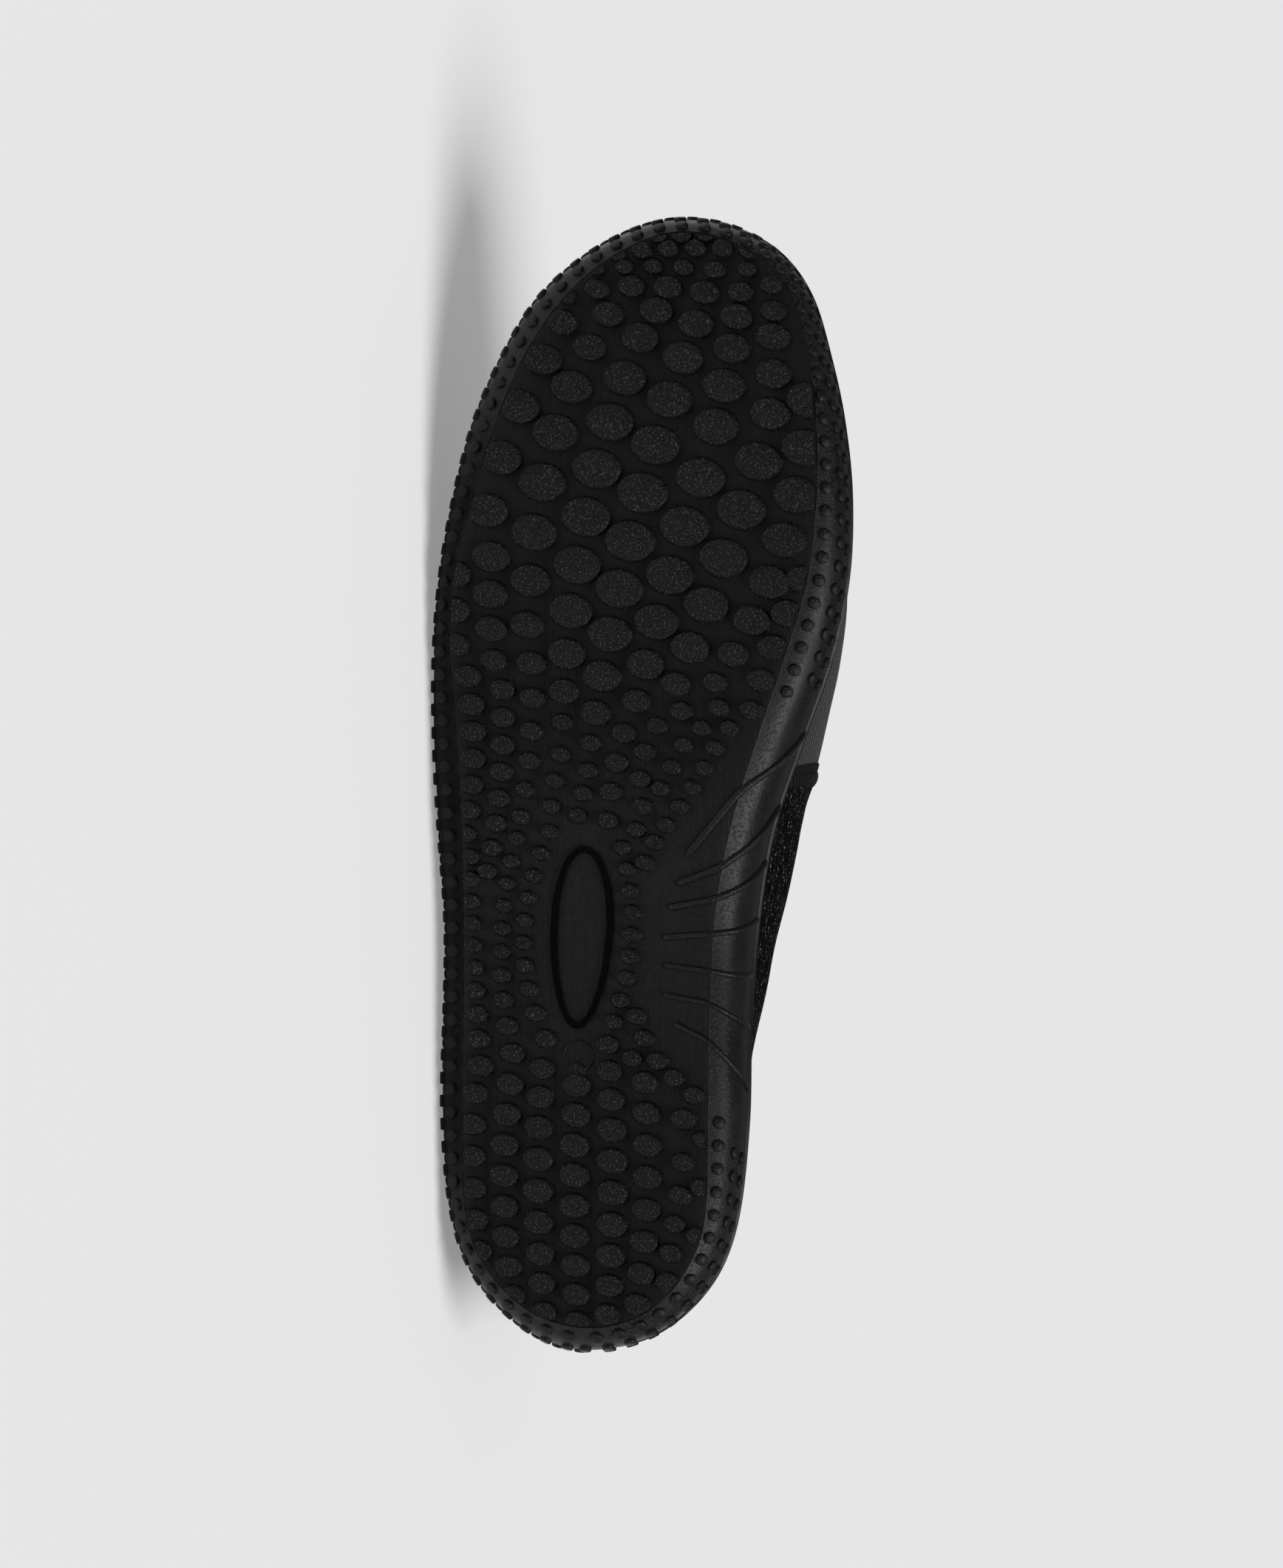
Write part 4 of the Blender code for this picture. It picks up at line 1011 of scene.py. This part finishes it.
def top_point(share, side):
    """Points on the top line: on the collar behind the throat, on the ridge over the toes before it."""
    half = np.where(side > 0, read_curve(TOP_LINE, 3, share, True), read_curve(TOP_LINE, 2, share, True))
    half = np.where((share > 0) & (share < THROAT), np.maximum(half, 0), 0)
    x = SHOE_LENGTH * (COLLAR_BACK + (RIDGE_END - COLLAR_BACK) * share)
    y = BALL_WIDTH * (read_curve(TOP_LINE, 4, share) + side * half)
    return np.stack([x, y, INSTEP_HEIGHT * read_curve(TOP_LINE, 1, share)], -1)


def cup_wall_loop(up):
    return inset(side_point(fine_shares, fine_sides, up), SIDE_WALL + CLEARANCE)


upper_foot = cup_wall_loop(FLOOR_UP)
upper_foot[:, 2] = tread_rise(upper_foot[:, 0]) + CUP_FLOOR + CLEARANCE
upper_base = cup_wall_loop(1.0)


def upper_wall(share, side, t):
    """Points of the upper's outer face, at shares t of the way from the sole's rim to the top line."""
    foot, base = on_loop(upper_foot, share, side), on_loop(upper_base, share, side)
    top = top_point(share, side)
    height = (top - base)[..., 2:]
    flat = (base - top) * (1, 1, 0)
    spread = np.linalg.norm(flat, axis=-1, keepdims=True)
    collar_way = flat * (0.1, 0, 0)
    collar_way[..., 1] = side * BALL_WIDTH * 0.1 * np.sin(turn_of(share))
    closing = np.clip((share - 0.44) / (THROAT - 0.44), 0, 1)[..., None]
    outward = unit(unit(collar_way) + (unit(flat) - unit(collar_way)) * closing)
    rising = unit(unit(base - foot) * 0.5 + (0, 0, 0.5))
    level = np.clip(read_curve(TOP_LINE, 5, share), 0, 1)[..., None]
    flare = np.where(side > 0, read_curve(FLARE, 2, share), read_curve(FLARE, 1, share))[..., None]
    low = base + rising * height * WALL_RISE + outward * BALL_WIDTH * flare
    reach = COLLAR_LEAN * BALL_WIDTH * (1 - level) + SHOULDER * spread * level
    before, after = top_point(np.minimum(share, 1) - 0.01, 1), top_point(np.minimum(share + 0.01, 1), 1)
    fall = ((before - after)[..., 2] / (after - before)[..., 0])[..., None]
    drop = COLLAR_DROP * height * (1 - level) + np.maximum(outward[..., :1], 0) * reach * fall * level
    high = top + outward * reach - drop * (0, 0, 1)
    t = np.asarray(t)[..., None]
    return base * (1 - t) ** 3 + low * 3 * t * (1 - t) ** 2 + high * 3 * t * t * (1 - t) + top * t ** 3


def sheet_normals(points):
    """Direction square to a grid of points at each of them, from its rows and its columns."""
    return unit(np.cross(np.gradient(points, axis=1), np.gradient(points, axis=0)))


def crease_depth(share, side, t):
    """How far the slack cloth has sunk at each point, in metres."""
    depth = np.zeros(np.broadcast(share, t).shape)
    for along, where, lowest, highest, lean, sink, width in CREASES:
        middle = (lowest + highest) / 2
        reach = (highest - lowest) / 2
        window = np.clip(1 - ((t - middle) / reach) ** 2, 0, 1) ** 0.8
        line = (share - along - lean * (t - middle)) / width
        trough = np.exp(-line ** 2) - 0.55 * np.exp(-((np.abs(line) - 1.9) / 0.9) ** 2)
        depth += np.where(side == where, sink * MM * window * trough, 0)
    waves = np.sin(share * 47 + t * 5 + side) * np.sin(t * 9 + share * 23)
    return depth + 0.28 * MM * waves * np.clip(t * 4, 0, 1)


UPPER_ROWS = np.concatenate([[0.0], np.linspace(0.02, 1, 44)])
UPPER_STATIONS = 111
STATION_ROOM = 0.002


def upper_part(name, shares, sides):
    """Sheet of the upper over a stretch of the foot, from inside the cup to the top line."""
    share, t = np.meshgrid(shares, UPPER_ROWS)
    side = np.broadcast_to(sides, share.shape)
    wall = upper_wall(share, side, t)
    normals = sheet_normals(wall)
    fading = np.clip((1 - t) * np.where(share > THROAT, 6, 10), 0, 1)
    wall = wall - normals * (crease_depth(share, side, t) * (0.35 + 0.65 * fading))[..., None]
    ridge = shares >= THROAT
    wall[-1, ridge] = top_point(shares[ridge], sides[ridge])
    foot = on_loop(upper_foot, shares, sides)
    points = np.concatenate([foot[None], wall])
    u = lengths_along(on_loop(upper_base, shares, sides), 0)
    v = lengths_along(points, 0)
    sheet = draw_sheet(name, points, np.stack([np.broadcast_to(u, v.shape), v], -1))
    apply_step(sheet, "SOLIDIFY", thickness=UPPER_WALL, offset=-1, use_even_offset=False,
               material_offset=1, material_offset_rim=0)
    return sheet


def sprung(shares, first, last):
    """The stations between two places, with both places among them."""
    between = shares[(shares > first + STATION_ROOM) & (shares < last - STATION_ROOM)]
    return np.concatenate([[first], between, [last]])


throat_stations = (0.4735, 0.4775, 0.481, 0.484, 0.4865, 0.4885, THROAT, 0.493)
upper_shares = station_shares(UPPER_STATIONS, throat_stations)
back_half = sprung(upper_shares, 0.0, TAPE_PLACE)
front_half = sprung(upper_shares, TAPE_PLACE, 1.0)
toe_shares = np.concatenate([front_half, front_half[-2::-1]])
toe_sides = np.repeat([-1, 1], [len(front_half), len(front_half) - 1])
quarter_shares = np.concatenate([back_half[::-1], back_half[1:]])
quarter_sides = np.repeat([-1, 1], [len(back_half), len(back_half) - 1])
toe_cloth = upper_part("toe_cloth", toe_shares, toe_sides)
quarters = upper_part("mesh_quarters", quarter_shares, quarter_sides)

TWILL_PITCH = 1.05 * MM
MESH_PITCH = 1.55 * MM


def twill():
    """Close grey-black twill: fine diagonal ribs crossed by the weft, with a faint mottle."""
    material, shader, finish = new_material("toe_twill", Specular_IOR_Level=0.08, Sheen_Weight=0.12,
                                            Sheen_Roughness=0.35)
    uv = finish.add("UVMap")
    u, v = uv.axis(0), uv.axis(1)
    step = 2 * math.pi / TWILL_PITCH
    ribs = ((u + v * 0.9) * step).wave()
    weft = ((u - v * 0.9) * step).wave()
    fuzz = finish.noise(uv, 1700, 2.0, 0.6)
    mottle = finish.noise(shoe_place(finish), 45, 3.0, 0.55)
    weave = (ribs * 0.55 + weft * 0.45).step(0.38, 0.80)
    shade = weave * 0.60 + weave * fuzz.step(0.35, 0.7) * 0.30 + mottle * 0.10
    dress(shader, Base_Color=finish.grade(grey(0.002, 0.0001), grey(0.205, 0.005), shade),
          Roughness=0.85 - mottle * 0.15,
          Normal=finish.bump(weave + fuzz * 0.3, 0.30 * MM, 0.9))
    return material


def open_mesh():
    """Coarse black mesh: lengthwise knitted cords with holes between them, and painted glints on its
    threads.
    """
    material, shader, finish = new_material("quarter_mesh", Specular_IOR_Level=0.05)
    uv = finish.add("UVMap")
    u, v = (uv.axis(number) * (1 / MESH_PITCH) for number in (0, 1))
    row = finish.maths("FLOOR", v)
    shifted = u * 0.85 + finish.maths("MODULO", row, 2.0) * 0.5
    along = finish.maths("FRACT", shifted) - 0.5
    up = finish.maths("FRACT", v) - 0.5
    reach = finish.maths("SQRT", along * along * 0.4 + up * up * 1.7)
    cord = reach.step(0.20, 0.50)
    streak = finish.noise(stretched(finish, uv, 260, 1500, 1), 1.0, 2.0).step(0.42, 0.62)
    # Painted glints: bright specks painted on the threads, painted highlights.
    painted_glint = finish.noise(uv, 1500, 1.0).step(0.56, 0.68)
    shade = cord * 0.012 + streak * 0.018 + streak * painted_glint * (0.25 + cord * 0.60)
    dress(shader, Base_Color=finish.grade(grey(0.0003), grey(0.320, 0.005), shade),
          Roughness=0.88 - painted_glint * 0.35,
          Normal=finish.bump(cord + streak * 0.4 + painted_glint * 0.4, 0.50 * MM, 0.8))
    return material


def lining():
    """Thin black knitted lining behind both cloths."""
    material, shader, finish = new_material("upper_lining", Specular_IOR_Level=0.2, Sheen_Weight=0.08)
    uv = finish.add("UVMap")
    u, v = uv.axis(0), uv.axis(1)
    loops = finish.maths("SINE", u * 5200.0) * finish.maths("SINE", v * 4300.0) * 0.5 + 0.5
    fuzz = finish.noise(uv, 1500, 3.0, 0.6)
    shade = loops * 0.6 + fuzz * 0.4
    dress(shader, Base_Color=finish.grade(grey(0.008, 0.0005), grey(0.038, 0.002), shade),
          Roughness=0.9 - fuzz * 0.1,
          Normal=finish.bump(loops + fuzz * 0.6, 0.2 * MM, 0.6))
    return material


lining_cloth = lining()
lay_piece(toe_cloth, [twill(), lining_cloth], ["upper"], 60)
lay_piece(quarters, [open_mesh(), lining_cloth], sharp=60)

# Seam tape
# A black tape covers the seam between the two cloths, from rim to rim over the instep. Its front edge
# lies flat and smooth; its back edge is oversewn with slanted thread, so that it looks like a cord.
TAPE_THICKNESS = 0.5 * MM
TAPE_LIFT = 0.06 * MM
NEAR_RIDGE = 0.6
TAPE_SECTION = [
    # share of the tape's width from its back edge, height in millimetres
    (0.00, 0.00),
    (0.05, 0.10),
    (0.16, 0.22),
    (0.30, 0.28),
    (0.46, 0.24),
    (0.58, 0.14),
    (0.64, 0.10),
    (0.84, 0.12),
    (0.96, 0.08),
    (1.00, 0.00),
]
STITCH_PITCH = 1.55 * MM
STITCH_RADIUS = 0.26 * MM
STITCH_SLANT = 0.9 * MM
STITCH_RAISE = 0.4
START_LIFT, END_LIFT = 0.15 * MM, 0.05 * MM

tape_shares = np.array([place for place, _ in TAPE_SECTION])
tape_shares = TAPE_PLACE + (tape_shares - 0.5) * TAPE_WIDTH / SHOE_LENGTH
tape_heights = np.array([height for _, height in TAPE_SECTION]) * MM
climb = np.linspace(0.0, 1, 90)


def tape_rows(side):
    share, t = np.meshgrid(tape_shares, climb)
    wall = upper_wall(share, np.full(share.shape, side), t)
    return wall, sheet_normals(wall) * -side


outer_rows, outer_normals = tape_rows(-1)
inner_rows, inner_normals = tape_rows(1)
tape_wall = np.concatenate([outer_rows, inner_rows[-2::-1]])
ways = np.concatenate([outer_normals, inner_normals[-2::-1]])
ways = unit(ways + np.roll(ways, 1, 0) + np.roll(ways, -1, 0))
near_ridge = np.concatenate([climb, climb[-2::-1]])[:, None, None] > NEAR_RIDGE
ways *= np.where(near_ridge & (ways[..., 2:] + 0.3 < 0), -1, 1)
tape_top = tape_wall + ways * (TAPE_LIFT + tape_heights)[None, :, None]
tape_u = lengths_along(tape_top, 0)
tape_v = lengths_along(tape_top, 1)
tape = draw_sheet("seam_tape_cover", tape_top, np.stack([tape_u, tape_v], -1))
apply_step(tape, "SOLIDIFY", thickness=TAPE_THICKNESS, offset=-1)


def thread_stitches(name, starts, ends, lifts, radius):
    """Short rounded stitches from their starts to their ends, each bowed up in the middle."""
    bar = prism(name, 6, 5)
    shape = mesh_points(bar)
    shares = shape[:, 2] / 4
    swell = np.array((0.35, 0.9, 1.0, 0.9, 0.35))[np.rint(shape[:, 2]).astype(int)]
    placings = []
    for start, end, lift in zip(starts, ends, lifts):
        way = unit(end - start)
        beside = unit(np.cross(way, lift))
        high = unit(np.cross(beside, way))
        bow = np.sin(np.pi * shares) * radius * 0.9
        middle = start + (end - start) * shares[:, None] + high * bow[:, None]
        placings.append(middle + beside * (shape[:, 0] * swell * radius)[:, None]
                        + high * (shape[:, 1] * swell * radius)[:, None])
    return join_copies(bar, placings, name)


middle_line = tape_top[:, 3]
run = lengths_along(middle_line, 0)
spots = np.arange(1.5 * MM, run[-1] - 1.5 * MM, STITCH_PITCH)
stitch_starts = read_line(tape_top[:, 0], run, spots - STITCH_SLANT)
stitch_ends = read_line(tape_top[:, 5], run, spots + STITCH_SLANT)
stitch_lifts = read_line(ways[:, 3], run, spots)
crowns = read_line(middle_line, run, spots)
raised = crowns - (stitch_starts + stitch_ends) / 2
stitch_starts += unit(stitch_lifts) * START_LIFT + raised * STITCH_RAISE
stitch_ends += unit(stitch_lifts) * END_LIFT + raised * STITCH_RAISE
tape_stitches = thread_stitches("tape_stitches", stitch_starts, stitch_ends, stitch_lifts, STITCH_RADIUS)


def tape_cloth():
    """Black ribbed tape with a slight shine, its threads running across."""
    material, shader, finish = new_material("seam_tape_cloth", Specular_IOR_Level=0.10,
                                            Sheen_Weight=0.04)
    uv = finish.add("UVMap")
    u, v = uv.axis(0), uv.axis(1)
    threads, edges = (u * 9000.0).wave(), (v * 7000.0).wave()
    fuzz = finish.noise(uv, 2200, 2.0, 0.6)
    shade = threads * 0.5 + fuzz * 0.35 + edges * 0.15
    dress(shader, Base_Color=finish.grade(grey(0.0005), grey(0.011, 0.0005), shade),
          Roughness=0.74 + fuzz * 0.15,
          Normal=finish.bump(threads + edges * 0.4 + fuzz * 0.4, 0.12 * MM, 0.6))
    return material


def thread():
    """Black sewing thread with its twist."""
    material, shader, finish = new_material("black_thread", Specular_IOR_Level=0.20, Sheen_Weight=0.05)
    place = shoe_place(finish)
    twist = finish.noise(stretched(finish, place, 3000, 1400, 1400), 1.0, 2.0, 0.6)
    dress(shader, Base_Color=finish.grade(grey(0.003, 0.0002), grey(0.022, 0.0005), twist),
          Roughness=0.5 + twist * 0.2,
          Normal=finish.bump(twist, 0.1 * MM, 0.6))
    return material


tape_material, thread_material = tape_cloth(), thread()
lay_piece(tape, [tape_material], ["seam_tape"], 60)
lay_piece(tape_stitches, [thread_material], sharp=60)

# Collar binding
# A soft tape folded over the edge of the mesh all round the foot's opening and sewn down with one line
# of stitches on each side.
BINDING_SECTION = [
    # across and up from the upper's edge, in millimetres
    (-1.05, -1.90),
    (-1.75, -2.00),
    (-2.10, -1.30),
    (-2.20, 0.60),
    (-2.25, 2.60),
    (-2.05, 4.20),
    (-1.30, 5.50),
    (0.00, 6.00),
    (1.30, 5.50),
    (2.05, 4.20),
    (2.25, 2.60),
    (2.20, 0.60),
    (2.10, -1.30),
    (1.75, -2.00),
    (1.05, -1.90),
    (0.95, 0.10),
    (-0.95, 0.10),
    (-1.05, -1.90),
]
COLLAR_STITCH_PITCH = 3.4 * MM
COLLAR_STITCH_LENGTH = 2.3 * MM
COLLAR_STITCH_RADIUS = 0.28 * MM
COLLAR_STITCH_OUT, COLLAR_STITCH_DOWN = 2.12 * MM, 0.75 * MM
COLLAR_STATIONS = 121
COLLAR_POINTS = 221
COLLAR_SMOOTHINGS = 3

collar_half = station_shares(COLLAR_STATIONS, throat_stations)
collar_half = collar_half[collar_half <= THROAT]
collar_shares = np.concatenate([collar_half[::-1], collar_half[1:]])
collar_sides = np.repeat([-1, 1], [len(collar_half), len(collar_half) - 1])
collar = upper_wall(collar_shares, collar_sides, np.ones(len(collar_shares)))
collar[0] = collar[-1] = (collar[0] + collar[-1]) / 2
below = upper_wall(collar_shares, collar_sides, np.full(len(collar_shares), 0.9))
even = np.linspace(0, 1, COLLAR_POINTS)
travelled = lengths_along(collar, 0)
travelled /= travelled[-1]


def evenly(points):
    """Points read at even steps round the collar, smoothed with their neighbours."""
    spread = read_line(points, travelled, even)
    for _ in range(COLLAR_SMOOTHINGS):
        ring = spread[:-1]
        ring = (ring * 2 + np.roll(ring, 1, 0) + np.roll(ring, -1, 0)) / 4
        spread = np.concatenate([ring, ring[:1]])
    return spread


collar_line = evenly(collar)
climbing = evenly(unit(collar - below))
travel = np.concatenate([collar_line[1:-1], collar_line[:1], collar_line[1:2]])
travel = unit(travel[:len(collar_line)] - np.concatenate([collar_line[-2:-1], collar_line[:-1]]))
throat_share = np.exp(-(np.minimum(even, 1 - even) / 0.02) ** 2)[:, None]
climbing = climbing * (1 - throat_share) + np.array((-1, 0, 0.6)) * throat_share
climbing = unit(climbing - travel * (climbing * travel).sum(1)[:, None])
binding_out = unit(np.cross(travel, climbing))
binding_middle = collar_line - binding_out * UPPER_WALL / 2
section_points = np.array(BINDING_SECTION) * MM
binding_points = (binding_middle[None] + binding_out[None] * section_points[:, 0, None, None]
                  + climbing[None] * section_points[:, 1, None, None])
binding_measures = np.stack([np.broadcast_to(lengths_along(collar_line, 0), binding_points.shape[:2]),
                             lengths_along(binding_points, 0)], -1)
binding = draw_sheet("collar_binding_tape", binding_points, binding_measures)
apply_step(binding, "SUBSURF", levels=1, render_levels=1)

collar_run = lengths_along(collar_line, 0)
spots = np.arange(2 * MM, collar_run[-1] - 2 * MM, COLLAR_STITCH_PITCH)
stitch_starts, stitch_ends, stitch_lifts = [], [], []
for face in (-1, 1):
    line = binding_middle + binding_out * face * COLLAR_STITCH_OUT - climbing * COLLAR_STITCH_DOWN
    stitch_starts.append(read_line(line, collar_run, spots))
    stitch_ends.append(read_line(line, collar_run, spots + COLLAR_STITCH_LENGTH))
    stitch_lifts.append(read_line(binding_out * face, collar_run, spots))
stitch_rows = (np.concatenate(group) for group in (stitch_starts, stitch_ends, stitch_lifts))
collar_stitches = thread_stitches("collar_stitches", *stitch_rows, COLLAR_STITCH_RADIUS)
lay_piece(binding, [tape_material], ["collar_binding"], 60)
lay_piece(collar_stitches, [thread_material], sharp=60)

# Insole
# A flat foam sock with a knitted face, cut to the cup's floor and laid loose inside the upper.
INSOLE_GAP = 0.8 * MM
INSOLE_SECTION = [
    # share of the way out, in from the edge and up from the underside in millimetres
    (0.0, 0.0, 0.0),
    (0.5, 0.0, 0.0),
    (1.0, 0.7, 0.0),
    (1.0, 0.0, 0.5),
    (1.0, 0.0, 3.2),
    (1.0, 0.4, 3.8),
    (1.0, 1.2, 4.0),
    (0.8, 0.0, 4.0),
    (0.5, 0.0, 4.0),
    (0.0, 0.0, 4.0),
]
insole_edge = inset(side_point(sole_shares, sole_sides, FLOOR_UP),
                    SIDE_WALL + CLEARANCE + UPPER_WALL + INSOLE_GAP)
insole_rows = [across_plate(inset(insole_edge, narrow * MM), share, CUP_FLOOR + CLEARANCE + rise * MM)
               for share, narrow, rise in INSOLE_SECTION]
insole_points = np.array(insole_rows)
insole = draw_sheet("insole_sock", insole_points, insole_points[..., :2])


def insole_knit():
    """Charcoal knit on foam: small loops, rubbed a little lighter where the foot stands."""
    material, shader, finish = new_material("insole_knit", Specular_IOR_Level=0.2, Sheen_Weight=0.1)
    place = shoe_place(finish)
    uv = finish.add("UVMap")
    u, v = uv.axis(0), uv.axis(1)
    loops = finish.maths("SINE", u * 4600.0) * finish.maths("SINE", v * 3900.0) * 0.5 + 0.5
    worn = finish.noise(place, 22, 3.0, 0.5)
    shade = loops * 0.55 + worn * 0.45
    dress(shader, Base_Color=finish.grade(grey(0.012, 0.001), grey(0.055, 0.003), shade),
          Roughness=0.92 - worn * 0.12,
          Normal=finish.bump(loops + worn * 0.3, 0.25 * MM, 0.6))
    return material


lay_piece(insole, [insole_knit()], ["insole"], 50)
